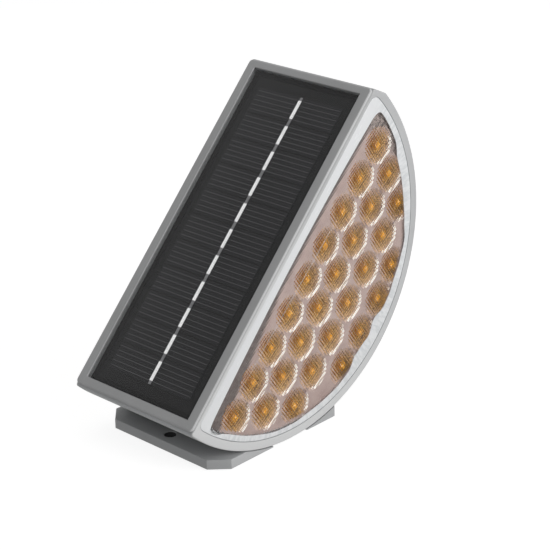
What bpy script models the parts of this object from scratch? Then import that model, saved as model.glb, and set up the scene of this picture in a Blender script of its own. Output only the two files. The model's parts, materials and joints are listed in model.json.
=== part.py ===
# Solar barricade warning light: a half-round drum standing on a flat base plate.
# The chord side of the drum faces up and forward (-Y) and carries a solar panel; both
# round sides (+X right, -X left) carry 28 amber LEDs behind a clear cap.
#
# Two frames are used, both in mm until a part is placed:
#   WORLD  Z up, base plate on Z = 0.
#   BODY   X across the drum, Y up the slope of the chord, Z square to the chord (outwards
#          positive), origin on the drum's round axis. It is the world frame turned about X
#          by TILT and lifted to (0, DRUM_Y, DRUM_Z).
# "Upper" and "lower" ends of a drum outline are its +Y and -Y ends in the body frame.
import bpy
import bmesh
import math
from mathutils import Matrix, Vector

MM = 0.001

# ---------------------------------------------------------------- drum (mm)
TILT = math.radians(46.85)          # chord slope from horizontal
DRUM_Y, DRUM_Z = 3.93, 85.1         # round axis of the drum, world
DRUM_R = 84.9                       # outer radius of the round side
HALF_W = 36.0                       # half width of the drum
WALL_R = 82.0                       # inner radius of the drum wall
# levels square to the chord, body Z
HOUSING_TOP = 2.15
RECESS_FLOOR = -0.95                # floor of the panel recess
CHORD_WALL_IN = -3.2                # inner face of the chord wall
# flat that ends the housing at the top, under the frame's edge: body (Y, Z)
END_NORMAL, END_OFFSET = (0.974, 0.311), 80.6
END_ROUND, END_STEPS = 1.3, 4
# world levels
SEAT_Z = 4.9                        # flat seat of the housing above the plate
FLOOR_Z = 7.9                       # inner floor
SEAT_X = 31.6                       # half width of the flat seat

# ---------------------------------------------------------------- round sides
LEDGE_X, LEDGE_IN_X = 32.0, 28.6    # outer and inner faces of the lens ledge
LEDGE_R, LEDGE_TOP = 77.0, -5.0     # opening through the ledge
POCKET_R, POCKET_TOP = 81.0, 0.85   # pocket the cap sits in
LENS_R, LENS_TOP = 80.7, 0.6
LENS_IN_X, LENS_OUT_X = 33.2, 36.0
WINDOW_R, WINDOW_TOP, WINDOW_X = 77.6, -3.85, 35.8      # shallow recess outside the cap
HOLLOW_R, HOLLOW_TOP, HOLLOW_X = 78.4, -2.2, 34.8       # deep recess inside the cap
SEAL_GAP = 0.1                      # seal outline inside the cap outline
REFL_IN_X, REFL_OUT_X = 26.0, 34.5
CUP_R, CUP_NECK_R = 8.0, 2.8
PCB_IN_X, PCB_OUT_X = 24.1, 25.7
LED_TIP_X, LED_R = 34.3, 2.5
LED_MAX_R = 73.4                    # LEDs farther from the axis are pulled in to this
# LED columns: (body Z of the column, body Y of its middle, LED count, pitch)
LED_COLUMNS = ((-19.1, -1.5, 9, 16.7), (-35.0, 0.57, 8, 16.9),
               (-51.6, 2.44, 7, 17.17), (-69.5, 4.42, 4, 17.3))
LED_BOARD_SCREWS = ((-50.2, -27.0), (50.6, -27.0), (-5.0, -60.3))   # body (Y, Z)
LED_BOARD_SCREW_R = 1.3             # holes in board and reflector
SIDES = (("right", 1), ("left", -1))

# ---------------------------------------------------------------- solar panel (body frame)
PANEL_Y = -0.9                      # middle of the panel along the chord
GLASS_X, GLASS_Y = 30.7, 78.4       # half sizes of the panel cover
GLASS_BOTTOM, GLASS_TOP = 1.44, 2.64
FRAME_Y0, FRAME_Y1 = -83.8, 81.5
FRAME_BOTTOM, FRAME_TOP = 2.4, 3.47
OPENING_X, OPENING_Y = 31.0, 78.7   # half sizes of the frame opening
GASKET_X, GASKET_Y = 28.6, 76.3     # half sizes of the gasket opening
CELL_COUNT, CELL_PITCH = 11, 12.96
CELL_X, CELL_LENGTH = 24.8, 12.3    # half width, full length
RIBBON_X, RIBBON_W, RIBBON_HALF_L = 0.9, 1.4, 71.0

# ---------------------------------------------------------------- base plate (world)
PLATE_X, PLATE_Y, PLATE_T = 36.0, 40.4, 4.6
PLATE_CHAMFER = 7.4
NOTCH_X, NOTCH_Y, NOTCH_SLANT = 31.3, 11.0, 1.5     # where the drum rims reach through
SCOOP_R = DRUM_R + 0.3              # hollow in the plate edges that the drum rims sit in
SCOOP_ANGLE, SCOOP_STEPS = math.radians(25.0), 10   # half arc and steps in it
HOLE_Y, HOLE_R = 34.1, 2.65
BASE_SCREWS = [(x, DRUM_Y + y) for y in (-17.0, 17.0) for x in (-12.0, 12.0)]

# ---------------------------------------------------------------- control board (body frame)
CONTROL_BOTTOM, CONTROL_TOP = -10.3, -8.7
CONTROL_SCREWS_Y = (-23.0, 23.0)
# components under the board: (x0, x1, y0, y1, height)
COMPONENTS = ((-5, 5, -8, 2, 2.0), (-16, -8, -19, -11, 3.2), (8, 16, -19, -11, 3.2),
              (-16, -6, 8, 16, 3.2), (6, 16, 8, 16, 3.2), (-3.5, 3.5, 9, 16, 4.5),
              (-16, -10, -5, 3, 5.0), (10, 16, -5, 3, 1.6))

# ---------------------------------------------------------------- battery (world)
TRAY_X, TRAY_IN_X = 21.0, 19.4
TRAY_Y0, TRAY_Y1 = DRUM_Y - 38.0, DRUM_Y + 38.0
TRAY_Z, TRAY_H = 20.3, 14.0         # underside and height
TRAY_WALL = 1.8                     # floor and end walls
LUG_X, LUG_LENGTH = 5.0, 7.4
LUG_SCREWS_Y = (DRUM_Y - 42.0, DRUM_Y + 42.0)
BATTERY_R, BATTERY_HALF_L = 9.2, 32.5
BATTERY_X = 9.6
BATTERY_Z = TRAY_Z + TRAY_WALL + 0.3 + BATTERY_R

# ---------------------------------------------------------------- switch
SWITCH_DOWN = math.radians(10.0)    # button points backwards and a little down
SWITCH_DIR = Vector((0, math.cos(SWITCH_DOWN), -math.sin(SWITCH_DOWN)))
DRUM_CENTRE = Vector((0, DRUM_Y, DRUM_Z))
SWITCH_SIDES = 24
BUTTON_R, BUTTON_START = 3.9, 74.6

WORLD = Matrix.Identity(4)
BODY = Matrix.Translation((0, DRUM_Y * MM, DRUM_Z * MM)) @ Matrix.Rotation(TILT, 4, 'X')
UP = (0, 0, 1)

# name: (base colour, roughness, metallic)
MATERIALS = {
    "grey_plastic": ((0.56, 0.57, 0.58), 0.5, 0.0),
    "bezel_plastic": ((0.45, 0.46, 0.47), 0.5, 0.0),
    "plate_plastic": ((0.42, 0.43, 0.44), 0.55, 0.0),
    "lens_clear": ((0.85, 0.87, 0.9), 0.08, 0.0),
    "panel_glass": ((0.03, 0.03, 0.035), 0.15, 0.0),
    "cell_silicon": ((0.02, 0.02, 0.03), 0.3, 0.0),
    "ribbon_tin": ((0.8, 0.8, 0.82), 0.3, 1.0),
    "board_black": ((0.03, 0.03, 0.03), 0.5, 0.0),
    "seal_rubber": ((0.05, 0.05, 0.05), 0.8, 0.0),
    "reflector_chrome": ((0.7, 0.62, 0.58), 0.2, 1.0),
    "led_amber": ((0.8, 0.4, 0.05), 0.2, 0.0),
    "screw_steel": ((0.6, 0.6, 0.6), 0.35, 1.0),
    "board_green": ((0.05, 0.2, 0.1), 0.5, 0.0),
    "tray_black": ((0.06, 0.06, 0.06), 0.6, 0.0),
    "cell_wrap": ((0.1, 0.25, 0.5), 0.4, 0.0),
    "contact_nickel": ((0.7, 0.7, 0.68), 0.3, 1.0),
    "lead_red": ((0.6, 0.05, 0.04), 0.5, 0.0),
    "lead_black": ((0.04, 0.04, 0.04), 0.5, 0.0),
    "switch_black": ((0.05, 0.05, 0.05), 0.5, 0.0),
    "button_rubber": ((0.08, 0.08, 0.08), 0.75, 0.0),
    "nut_brass": ((0.75, 0.6, 0.3), 0.35, 1.0),
}

for old in list(bpy.data.objects):
    bpy.data.objects.remove(old, do_unlink=True)

parts = bpy.data.collections.new("barricade_warning_light")
cutters = bpy.data.collections.new("cutters")
bpy.context.scene.collection.children.link(parts)
bpy.context.scene.collection.children.link(cutters)


def make_material(name, colour, roughness, metallic):
    made = bpy.data.materials.new(name)
    made.use_nodes = True
    inputs = made.node_tree.nodes["Principled BSDF"].inputs
    inputs["Base Color"].default_value = (*colour, 1.0)
    inputs["Roughness"].default_value = roughness
    inputs["Metallic"].default_value = metallic
    return made


materials = {name: make_material(name, *look) for name, look in MATERIALS.items()}


# ---------------------------------------------------------------- placing and combining
def place(name, shape, matrix, collection):
    """Put a finished bmesh (in mm) into the scene as one named object in metres."""
    bmesh.ops.recalc_face_normals(shape, faces=shape.faces[:])
    bmesh.ops.scale(shape, vec=(MM, MM, MM), verts=shape.verts[:])
    mesh = bpy.data.meshes.new(name)
    shape.to_mesh(mesh)
    shape.free()
    placed = bpy.data.objects.new(name, mesh)
    collection.objects.link(placed)
    placed.matrix_world = matrix
    return placed


def add_part(name, shape, material, matrix=BODY):
    part = place(name, shape, matrix, parts)
    part.data.materials.append(materials[material])
    return part


def cutter(shape, matrix=BODY):
    return place("cutter", shape, matrix, cutters)


def smooth(part, angle=32):
    part.data.shade_smooth()
    part.data.set_sharp_from_angle(angle=math.radians(angle))


def evaluated_mesh(source):
    bpy.context.view_layer.update()
    graph = bpy.context.evaluated_depsgraph_get()
    return bpy.data.meshes.new_from_object(source.evaluated_get(graph), depsgraph=graph)


def boolean(part, tool, operation):
    """Run one exact Boolean, keep its result as the part's mesh and remove the tool."""
    modifier = part.modifiers.new(operation.lower(), 'BOOLEAN')
    modifier.operation = operation
    modifier.solver = 'EXACT'
    modifier.object = tool
    mesh = evaluated_mesh(part)
    part.modifiers.clear()
    old_mesh = part.data
    part.data = mesh
    mesh.name = part.name
    bpy.data.meshes.remove(old_mesh)
    bpy.data.objects.remove(tool, do_unlink=True)
    # merge near-coincident points, but only where the result stays closed
    merged = bmesh.new()
    merged.from_mesh(mesh)
    bmesh.ops.remove_doubles(merged, verts=merged.verts[:], dist=1e-6)
    if all(len(edge.link_faces) == 2 for edge in merged.edges):
        merged.to_mesh(mesh)
    merged.free()


def cut(part, shape, matrix=BODY):
    boolean(part, cutter(shape, matrix), 'DIFFERENCE')


def join(part, shape, matrix=BODY):
    boolean(part, cutter(shape, matrix), 'UNION')


# ---------------------------------------------------------------- outlines
def drum_outline(radius, top, upper_round, lower_round, arc_steps=36):
    """Circle cut by the body line Z = top, its two corners rounded, as (Y, Z) points."""
    corner_steps = 3

    def corner(rounding):
        y = math.sqrt((radius - rounding) ** 2 - (top - rounding) ** 2)
        return y, math.atan2(top - rounding, y)

    upper_y, start = corner(upper_round)
    lower_y, lower_angle = corner(lower_round)
    end = -math.pi - lower_angle
    points = []
    if upper_round:
        for i in range(corner_steps):
            angle = math.pi / 2 + (start - math.pi / 2) * i / corner_steps
            points.append((upper_y + upper_round * math.cos(angle),
                           top - upper_round + upper_round * math.sin(angle)))
    for i in range(arc_steps + 1):
        angle = start + (end - start) * i / arc_steps
        points.append((radius * math.cos(angle), radius * math.sin(angle)))
    for i in range(1, corner_steps + 1):
        angle = end + (-1.5 * math.pi - end) * i / corner_steps
        points.append((-lower_y + lower_round * math.cos(angle),
                       top - lower_round + lower_round * math.sin(angle)))
    return points


def trim_end(outline, normal, offset, rounding, steps):
    """Cut the upper end flat along normal.point = offset; round its corner with the chord."""
    length = math.hypot(*normal)
    normal_y, normal_z, offset = normal[0] / length, normal[1] / length, offset / length
    kept = []
    crossings = []                  # indices in kept of the two new corners
    for i, here in enumerate(outline):
        after = outline[(i + 1) % len(outline)]
        dist_here = here[0] * normal_y + here[1] * normal_z - offset
        dist_after = after[0] * normal_y + after[1] * normal_z - offset
        if dist_here <= 0:
            kept.append(here)
        if (dist_here < 0) != (dist_after < 0) and dist_here != 0 and dist_after != 0:
            share = dist_here / (dist_here - dist_after)
            crossings.append(len(kept))
            kept.append((here[0] + share * (after[0] - here[0]),
                         here[1] + share * (after[1] - here[1])))
    top = max(crossings, key=lambda i: kept[i][1])
    centre_y = kept[top][0] - rounding * normal_y / (1 + normal_z)
    centre_z = kept[top][1] - rounding
    start = math.atan2(normal_z, normal_y)
    angles = [start + (math.pi / 2 - start) * i / steps for i in range(steps + 1)]
    if top - 1 not in crossings:
        angles.reverse()
    arc = [(centre_y + rounding * math.cos(angle), centre_z + rounding * math.sin(angle))
           for angle in angles]
    return kept[:top] + arc + kept[top + 1:]


def keep_above(outline, floor_z):
    """Keep the part of a body-frame outline that lies above a world height."""
    def height(point):
        return DRUM_Z + point[0] * math.sin(TILT) + point[1] * math.cos(TILT) - floor_z

    kept = []
    for i, here in enumerate(outline):
        after = outline[(i + 1) % len(outline)]
        high, high_after = height(here), height(after)
        if high >= 0:
            kept.append(here)
        if high > 0 > high_after or high < 0 < high_after:
            share = high / (high - high_after)
            kept.append((here[0] + share * (after[0] - here[0]),
                         here[1] + share * (after[1] - here[1])))
    return kept


def rect(half_x, half_y, centre_x=0.0, centre_y=PANEL_Y):
    """Rectangle, by default centred on the panel."""
    return [(centre_x + i * half_x, centre_y + j * half_y)
            for i, j in ((-1, -1), (1, -1), (1, 1), (-1, 1))]


def rounded_rect(half_x, half_y, corner_r, centre_y, steps=4):
    points = []
    for sign_x, sign_y, start in ((1, 1, 0), (-1, 1, 90), (-1, -1, 180), (1, -1, 270)):
        for i in range(steps + 1):
            angle = math.radians(start + 90 * i / steps)
            points.append((sign_x * (half_x - corner_r) + corner_r * math.cos(angle),
                           centre_y + sign_y * (half_y - corner_r) + corner_r * math.sin(angle)))
    return points


# ---------------------------------------------------------------- solids (bmesh, mm)
def prism(outline, start, end, axis='X', bevel=0.0, ends='both', segments=2):
    """Extrude an outline along X or Z; the rims at the chosen ends may be rounded."""
    shape = bmesh.new()
    if axis == 'X':
        corners = [(start, y, z) for y, z in outline]
        step = Vector((end - start, 0, 0))
    else:
        corners = [(x, y, start) for x, y in outline]
        step = Vector((0, 0, end - start))
    base = shape.faces.new([shape.verts.new(corner) for corner in corners])
    extruded = bmesh.ops.extrude_face_region(shape, geom=[base])['geom']
    moved = [item for item in extruded if isinstance(item, bmesh.types.BMVert)]
    bmesh.ops.translate(shape, verts=moved, vec=step)
    bmesh.ops.recalc_face_normals(shape, faces=shape.faces[:])
    if bevel:
        k = 'XYZ'.index(axis)
        levels = {'both': (start, end), 'low': (start,), 'high': (end,)}[ends]
        rims = [edge for edge in shape.edges
                if any(all(abs(vert.co[k] - level) < 1e-6 for vert in edge.verts)
                       for level in levels)]
        bmesh.ops.bevel(shape, geom=rims, offset=bevel, offset_type='OFFSET',
                        segments=segments, profile=0.5, affect='EDGES', clamp_overlap=True)
    return shape


def side_prism(outline, sign, inner_x, outer_x, **options):
    """Prism between two distances from the middle, on the +X or -X side."""
    return prism(outline, *sorted((sign * inner_x, sign * outer_x)), **options)


def axis_matrix(point, direction):
    """Matrix whose Z runs along direction from point."""
    turn = Vector(direction).normalized().to_track_quat('Z', 'Y')
    return Matrix.Translation(point) @ turn.to_matrix().to_4x4()


def add_turned(shape, profile, sides, point, direction):
    """Spin a profile of (radius, distance along) about its axis; the ends are closed."""
    matrix = axis_matrix(point, direction)
    rings = []
    for radius, along in profile:
        count = 1 if radius < 1e-9 else sides
        angles = [2 * math.pi * i / sides for i in range(count)]
        rings.append([shape.verts.new(matrix @ Vector((radius * math.cos(angle),
                                                       radius * math.sin(angle), along)))
                      for angle in angles])
    for low, high in zip(rings[:-1], rings[1:]):
        for i in range(sides):
            j = (i + 1) % sides
            corners = []
            for vert in (low[i % len(low)], low[j % len(low)],
                         high[j % len(high)], high[i % len(high)]):
                if vert not in corners:
                    corners.append(vert)
            if len(corners) > 2:
                shape.faces.new(corners)
    for ring in (rings[0], rings[-1]):
        if len(ring) > 1:
            shape.faces.new(ring)


def turned(profile, sides, point=(0, 0, 0), direction=UP):
    shape = bmesh.new()
    add_turned(shape, profile, sides, point, direction)
    return shape


def rod(radius, start, end, sides, point=(0, 0, 0), direction=UP):
    return turned([(radius, start), (radius, end)], sides, point, direction)


def add_box(shape, x0, x1, y0, y1, z0, z1):
    verts = bmesh.ops.create_cube(shape, size=1.0)['verts']
    bmesh.ops.scale(shape, vec=(x1 - x0, y1 - y0, z1 - z0), verts=verts)
    middle = ((x0 + x1) / 2, (y0 + y1) / 2, (z0 + z1) / 2)
    bmesh.ops.translate(shape, vec=middle, verts=verts)


def boxes(*extents):
    """Boxes given as (x0, x1, y0, y1, z0, z1)."""
    shape = bmesh.new()
    for extent in extents:
        add_box(shape, *extent)
    return shape


def screw(name, top, direction, head_r, head_h, shank_r, length, matrix=WORLD, sides=8,
          countersunk=False):
    """Socket screw; top is the top of the head, direction runs down the shank."""
    if countersunk:
        profile = [(head_r, 0.0), (head_r, 0.25), (shank_r, head_h),
                   (shank_r, length - 0.5), (shank_r * 0.6, length)]
    else:
        profile = [(head_r * 0.8, 0.0), (head_r, 0.35), (head_r, head_h), (shank_r, head_h),
                   (shank_r, length - 0.4), (shank_r * 0.6, length)]
    part = add_part(name, turned(profile, sides, top, direction), "screw_steel", matrix)
    cut(part, rod(head_r * 0.42, -0.5, head_h * 0.6, 6, top, direction), matrix)
    smooth(part)


def wire(name, points, radius, material, matrix=WORLD):
    """Round lead laid along smooth points (mm) as a capped tube."""
    curve = bpy.data.curves.new(name, 'CURVE')
    curve.dimensions = '3D'
    curve.bevel_depth = radius * MM
    curve.bevel_resolution = 0
    curve.use_fill_caps = True
    curve.resolution_u = 3
    spline = curve.splines.new('BEZIER')
    spline.bezier_points.add(len(points) - 1)
    for knot, point in zip(spline.bezier_points, points):
        knot.co = Vector(point) * MM
        knot.handle_left_type = knot.handle_right_type = 'AUTO'
    path = bpy.data.objects.new(name + "_path", curve)
    parts.objects.link(path)
    path.matrix_world = matrix
    mesh = evaluated_mesh(path)
    bpy.data.objects.remove(path, do_unlink=True)
    bpy.data.curves.remove(curve)
    # weld the caps to the tube
    shape = bmesh.new()
    shape.from_mesh(mesh)
    bmesh.ops.remove_doubles(shape, verts=shape.verts[:], dist=1e-6)
    bmesh.ops.recalc_face_normals(shape, faces=shape.faces[:])
    shape.to_mesh(mesh)
    shape.free()
    mesh.name = name
    mesh.materials.clear()
    mesh.materials.append(materials[material])
    part = bpy.data.objects.new(name, mesh)
    parts.objects.link(part)
    part.matrix_world = matrix
    smooth(part, 50)


# ---------------------------------------------------------------- base plate and its screws
def build_base_plate():
    right = [(PLATE_X - PLATE_CHAMFER, -PLATE_Y), (PLATE_X, -PLATE_Y + PLATE_CHAMFER),
             (PLATE_X, DRUM_Y - NOTCH_Y), (NOTCH_X, DRUM_Y - NOTCH_Y + NOTCH_SLANT),
             (NOTCH_X, DRUM_Y + NOTCH_Y - NOTCH_SLANT), (PLATE_X, DRUM_Y + NOTCH_Y),
             (PLATE_X, PLATE_Y - PLATE_CHAMFER), (PLATE_X - PLATE_CHAMFER, PLATE_Y)]
    outline = right + [(-x, y) for x, y in reversed(right)]
    plate = add_part("base_plate", prism(outline, 0.0, PLATE_T, 'Z', bevel=0.35, ends='high',
                                         segments=1), "plate_plastic", WORLD)
    scoop = []
    for i in range(-SCOOP_STEPS, SCOOP_STEPS + 1):
        angle = -math.pi / 2 + SCOOP_ANGLE * i / SCOOP_STEPS
        scoop.append((DRUM_Y + SCOOP_R * math.cos(angle), DRUM_Z + SCOOP_R * math.sin(angle)))
    scoop += [(DRUM_Y + 40.0, DRUM_Z - 60.0), (DRUM_Y - 40.0, DRUM_Z - 60.0)]
    for sign in (-1, 1):
        cut(plate, side_prism(scoop, sign, NOTCH_X, PLATE_X + 1), WORLD)
    for y in (-HOLE_Y, HOLE_Y):
        cut(plate, rod(HOLE_R, -1, PLATE_T + 1, 18, (0, y, 0)), WORLD)
    screw_hole = [(5.2, -1.0), (4.2, 0.0), (4.2, 0.55), (2.25, 2.75), (2.25, PLATE_T + 1)]
    for x, y in BASE_SCREWS:
        cut(plate, turned(screw_hole, 14, (x, y, 0)), WORLD)
    smooth(plate)
    for i, (x, y) in enumerate(BASE_SCREWS, 1):
        screw(f"base_screw_{i}", (x, y, 0.3), UP, head_r=3.9, head_h=2.2, shank_r=1.9,
              length=11.5, sides=10, countersunk=True)


# ---------------------------------------------------------------- housing
def build_housing():
    outline = trim_end(drum_outline(DRUM_R, HOUSING_TOP, 0.0, 1.2, arc_steps=44),
                       END_NORMAL, END_OFFSET, END_ROUND, END_STEPS)
    housing = add_part("housing_body", prism(outline, -HALF_W, HALF_W, bevel=0.9),
                       "grey_plastic")
    cavity = keep_above(drum_outline(WALL_R, CHORD_WALL_IN, 2.5, 2.5), FLOOR_Z)
    cut(housing, prism(cavity, -LEDGE_IN_X, LEDGE_IN_X))
    cut(housing, prism(drum_outline(LEDGE_R, LEDGE_TOP, 3.0, 3.0), -HALF_W - 1, HALF_W + 1))
    pocket = drum_outline(POCKET_R, POCKET_TOP, 4.6, 3.0)
    for sign in (-1, 1):
        cut(housing, side_prism(pocket, sign, LEDGE_X, HALF_W + 1))
    cut(housing, prism(rect(OPENING_X, OPENING_Y), RECESS_FLOOR, HOUSING_TOP + 2, 'Z'))
    cut(housing, boxes((-SEAT_X, SEAT_X, -60, 60, -5, SEAT_Z)), WORLD)
    add_bosses(housing)
    # lead hole under the panel, switch hole and its flat
    cut(housing, rod(4.5, CHORD_WALL_IN - 1, RECESS_FLOOR + 1, 20, (0, 32.0, 0)))
    cut(housing, rod(5.8, 78.0, 90.0, 24, DRUM_CENTRE, SWITCH_DIR), WORLD)
    cut(housing, rod(8.6, 84.1, 92.0, 32, DRUM_CENTRE, SWITCH_DIR), WORLD)
    smooth(housing, 30)


def add_bosses(housing):
    """Bosses for the base, battery tray and control board screws, then their holes."""
    base = [(x, y, 0) for x, y in BASE_SCREWS]
    tray = [(0, y, 0) for y in LUG_SCREWS_Y]
    control = [(0, y, 0) for y in CONTROL_SCREWS_Y]
    # (places, frame, boss (radius, start, end, sides), hole (radius, start, end, sides))
    groups = (
        (base, WORLD, (4.6, FLOOR_Z - 1.5, 14.0, 16), (2.15, 0.0, 12.6, 12)),
        (tray, WORLD, (3.6, 14.2, 20.0, 14), (1.35, 15.0, 21.0, 10)),
        (control, BODY, (3.2, -8.4, CHORD_WALL_IN + 0.9, 14), (1.25, -9.0, -4.4, 10)),
    )
    for places, matrix, boss, _ in groups:
        for point in places:
            join(housing, rod(*boss, point), matrix)
    for places, matrix, _, hole in groups:
        for point in places:
            cut(housing, rod(*hole, point), matrix)


# ---------------------------------------------------------------- solar panel
def build_panel():
    outline = rounded_rect(HALF_W, (FRAME_Y1 - FRAME_Y0) / 2, corner_r=2.0,
                           centre_y=(FRAME_Y0 + FRAME_Y1) / 2)
    frame = add_part("panel_frame", prism(outline, FRAME_BOTTOM, FRAME_TOP, 'Z', bevel=0.8,
                                          ends='high'), "bezel_plastic")
    cut(frame, prism(rect(OPENING_X, OPENING_Y), FRAME_BOTTOM - 1, FRAME_TOP + 1, 'Z'))
    smooth(frame, 30)
    sheet = rect(GLASS_X, GLASS_Y)
    add_part("panel_cover", prism(sheet, GLASS_BOTTOM, GLASS_TOP, 'Z', bevel=0.2,
                                  ends='high', segments=1), "panel_glass")
    add_part("panel_backing_board", prism(sheet, -0.65, 0.55, 'Z'), "board_black")
    gasket = add_part("panel_gasket", prism(sheet, 0.8, 1.2, 'Z'), "seal_rubber")
    cut(gasket, prism(rect(GASKET_X, GASKET_Y), 0, 2, 'Z'))
    # cells are numbered from the upper end down
    for i in range(CELL_COUNT):
        y = PANEL_Y + CELL_PITCH * ((CELL_COUNT - 1) / 2 - i)
        add_part(f"solar_cell_{i + 1:02d}",
                 prism(rect(CELL_X, CELL_LENGTH / 2, centre_y=y), 0.8, 1.0, 'Z'),
                 "cell_silicon")
    ribbon = rect(RIBBON_W / 2, RIBBON_HALF_L, centre_x=RIBBON_X)
    add_part("cell_ribbon", prism(ribbon, 1.1, 1.25, 'Z'), "ribbon_tin")


# ---------------------------------------------------------------- round sides
def led_points():
    """Body (Y, Z) of every LED on one side."""
    points = []
    for z, middle, count, pitch in LED_COLUMNS:
        for i in range(count):
            y = middle + pitch * (i - (count - 1) / 2)
            pull = min(1.0, LED_MAX_R / math.hypot(y, z))
            points.append((y * pull, z * pull))
    return points


LEDS = led_points()


def build_lens(side, sign):
    """Clear cap, a thin window with a deeper rim, and the seal behind it."""
    lens = add_part("lens_cap_" + side,
                    side_prism(drum_outline(LENS_R, LENS_TOP, 4.3, 2.8), sign,
                               LENS_IN_X, LENS_OUT_X, bevel=0.45,
                               ends='high' if sign > 0 else 'low'), "lens_clear")
    hollow = drum_outline(HOLLOW_R, HOLLOW_TOP, 2.0, 2.0, arc_steps=32)
    cut(lens, side_prism(hollow, sign, LENS_IN_X - 1, HOLLOW_X))
    window = drum_outline(WINDOW_R, WINDOW_TOP, 2.2, 2.2, arc_steps=32)
    cut(lens, side_prism(window, sign, WINDOW_X, LENS_OUT_X + 1))
    smooth(lens, 30)

    rim = drum_outline(LENS_R - SEAL_GAP, LENS_TOP - SEAL_GAP, 4.2, 2.7, arc_steps=32)
    seal = add_part("lens_seal_" + side, side_prism(rim, sign, 32.2, 33.0), "seal_rubber")
    cut(seal, side_prism(drum_outline(78.3, -2.1, 2.0, 2.0, arc_steps=32), sign, 31.0, 34.0))
    smooth(seal, 30)


def build_reflector(side, sign):
    """Flange inside the cap, with a block of cups behind it."""
    direction = (sign, 0, 0)
    block = drum_outline(76.7, -5.3, 2.8, 2.8, arc_steps=32)
    flange = drum_outline(77.9, -2.6, 1.8, 1.8, arc_steps=32)
    cup_limit = drum_outline(76.2, -7.0, 2.0, 2.0, arc_steps=32)
    reflector = add_part("reflector_" + side, side_prism(block, sign, REFL_IN_X, 33.0),
                         "reflector_chrome")
    join(reflector, side_prism(flange, sign, 32.3, REFL_OUT_X))
    cup = [(CUP_NECK_R, REFL_IN_X - 1), (CUP_NECK_R, REFL_IN_X + 0.8),
           (CUP_R, REFL_OUT_X), (CUP_R, REFL_OUT_X + 1)]
    cups = bmesh.new()
    for y, z in LEDS:
        add_turned(cups, cup, 8, (0, y, z), direction)
    cup_tool = cutter(cups)
    # keep the cups clear of the block's rim
    limit_tool = cutter(side_prism(cup_limit, sign, REFL_IN_X - 2, REFL_OUT_X + 2))
    boolean(cup_tool, limit_tool, 'INTERSECT')
    boolean(reflector, cup_tool, 'DIFFERENCE')
    for y, z in LED_BOARD_SCREWS:
        cut(reflector, rod(LED_BOARD_SCREW_R, REFL_IN_X - 1, 30.6, 10, (0, y, z), direction))
    smooth(reflector, 30)


def build_led_board(side, sign):
    """One board with its 28 LEDs joined on, and its screws."""
    direction = (sign, 0, 0)
    outline = drum_outline(76.3, -8.0, 3.0, 3.0)
    board = add_part("led_board_" + side, side_prism(outline, sign, PCB_IN_X, PCB_OUT_X),
                     "led_amber")
    for y, z in LED_BOARD_SCREWS:
        cut(board, rod(LED_BOARD_SCREW_R, PCB_IN_X - 1, PCB_OUT_X + 1, 10, (0, y, z),
                       direction))
    led = [(LED_R, PCB_OUT_X - 0.4), (LED_R, LED_TIP_X - 2.5),
           (LED_R * 0.8, LED_TIP_X - 1.0), (0, LED_TIP_X)]
    leds = bmesh.new()
    for y, z in LEDS:
        add_turned(leds, led, 6, (0, y, z), direction)
    join(board, leds)
    smooth(board, 40)
    for i, (y, z) in enumerate(LED_BOARD_SCREWS, 1):
        screw(f"led_board_screw_{side}_{i}", (sign * 22.2, y, z), direction, head_r=2.2,
              head_h=1.5, shank_r=1.0, length=8.0, matrix=BODY)


# ---------------------------------------------------------------- control board
def build_control_board():
    """Board under the chord wall, its components hanging below it."""
    board = add_part("control_board", boxes((-19, 19, -29, 29, CONTROL_BOTTOM, CONTROL_TOP)),
                     "board_green")
    for y in CONTROL_SCREWS_Y:
        cut(board, rod(1.4, -12, -8, 10, (0, y, 0)))
    join(board, boxes(*((x0, x1, y0, y1, CONTROL_BOTTOM - height, CONTROL_BOTTOM + 0.1)
                        for x0, x1, y0, y1, height in COMPONENTS)))
    for i, y in enumerate(CONTROL_SCREWS_Y, 1):
        screw(f"control_board_screw_{i}", (0, y, -12.2), UP, head_r=2.3, head_h=1.6,
              shank_r=1.0, length=6.6, matrix=BODY)


# ---------------------------------------------------------------- battery
def build_battery_tray():
    tray = add_part("battery_tray",
                    boxes((-TRAY_X, TRAY_X, TRAY_Y0, TRAY_Y1, TRAY_Z, TRAY_Z + TRAY_H)),
                    "tray_black", WORLD)
    floor_z = TRAY_Z + TRAY_WALL
    cut(tray, boxes((-TRAY_IN_X, TRAY_IN_X, TRAY_Y0 + TRAY_WALL, TRAY_Y1 - TRAY_WALL,
                     floor_z, TRAY_Z + 20)), WORLD)
    join(tray, boxes((-LUG_X, LUG_X, TRAY_Y0 - LUG_LENGTH, TRAY_Y0 + 0.5, TRAY_Z, floor_z),
                     (-LUG_X, LUG_X, TRAY_Y1 - 0.5, TRAY_Y1 + LUG_LENGTH, TRAY_Z, floor_z)),
         WORLD)
    head_h = 1.5
    for i, y in enumerate(LUG_SCREWS_Y, 1):
        cut(tray, rod(1.5, TRAY_Z - 1, TRAY_Z + 3, 10, (0, y, 0)), WORLD)
        screw(f"battery_tray_screw_{i}", (0, y, floor_z + 0.3 + head_h), (0, 0, -1),
              head_r=2.2, head_h=head_h, shank_r=1.05, length=8.4)


def build_battery_cells():
    """Two cells side by side, pointing opposite ways along Y."""
    profile = [(BATTERY_R - 0.5, -BATTERY_HALF_L), (BATTERY_R, -BATTERY_HALF_L + 0.6),
               (BATTERY_R, BATTERY_HALF_L - 0.6), (BATTERY_R - 0.8, BATTERY_HALF_L),
               (3.0, BATTERY_HALF_L), (3.0, BATTERY_HALF_L + 0.9)]
    for i, sign in enumerate((-1, 1), 1):
        point = (sign * BATTERY_X, DRUM_Y, BATTERY_Z)
        cell = add_part(f"battery_cell_{i}", turned(profile, 20, point, (0, -sign, 0)),
                        "cell_wrap", WORLD)
        smooth(cell, 30)


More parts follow.
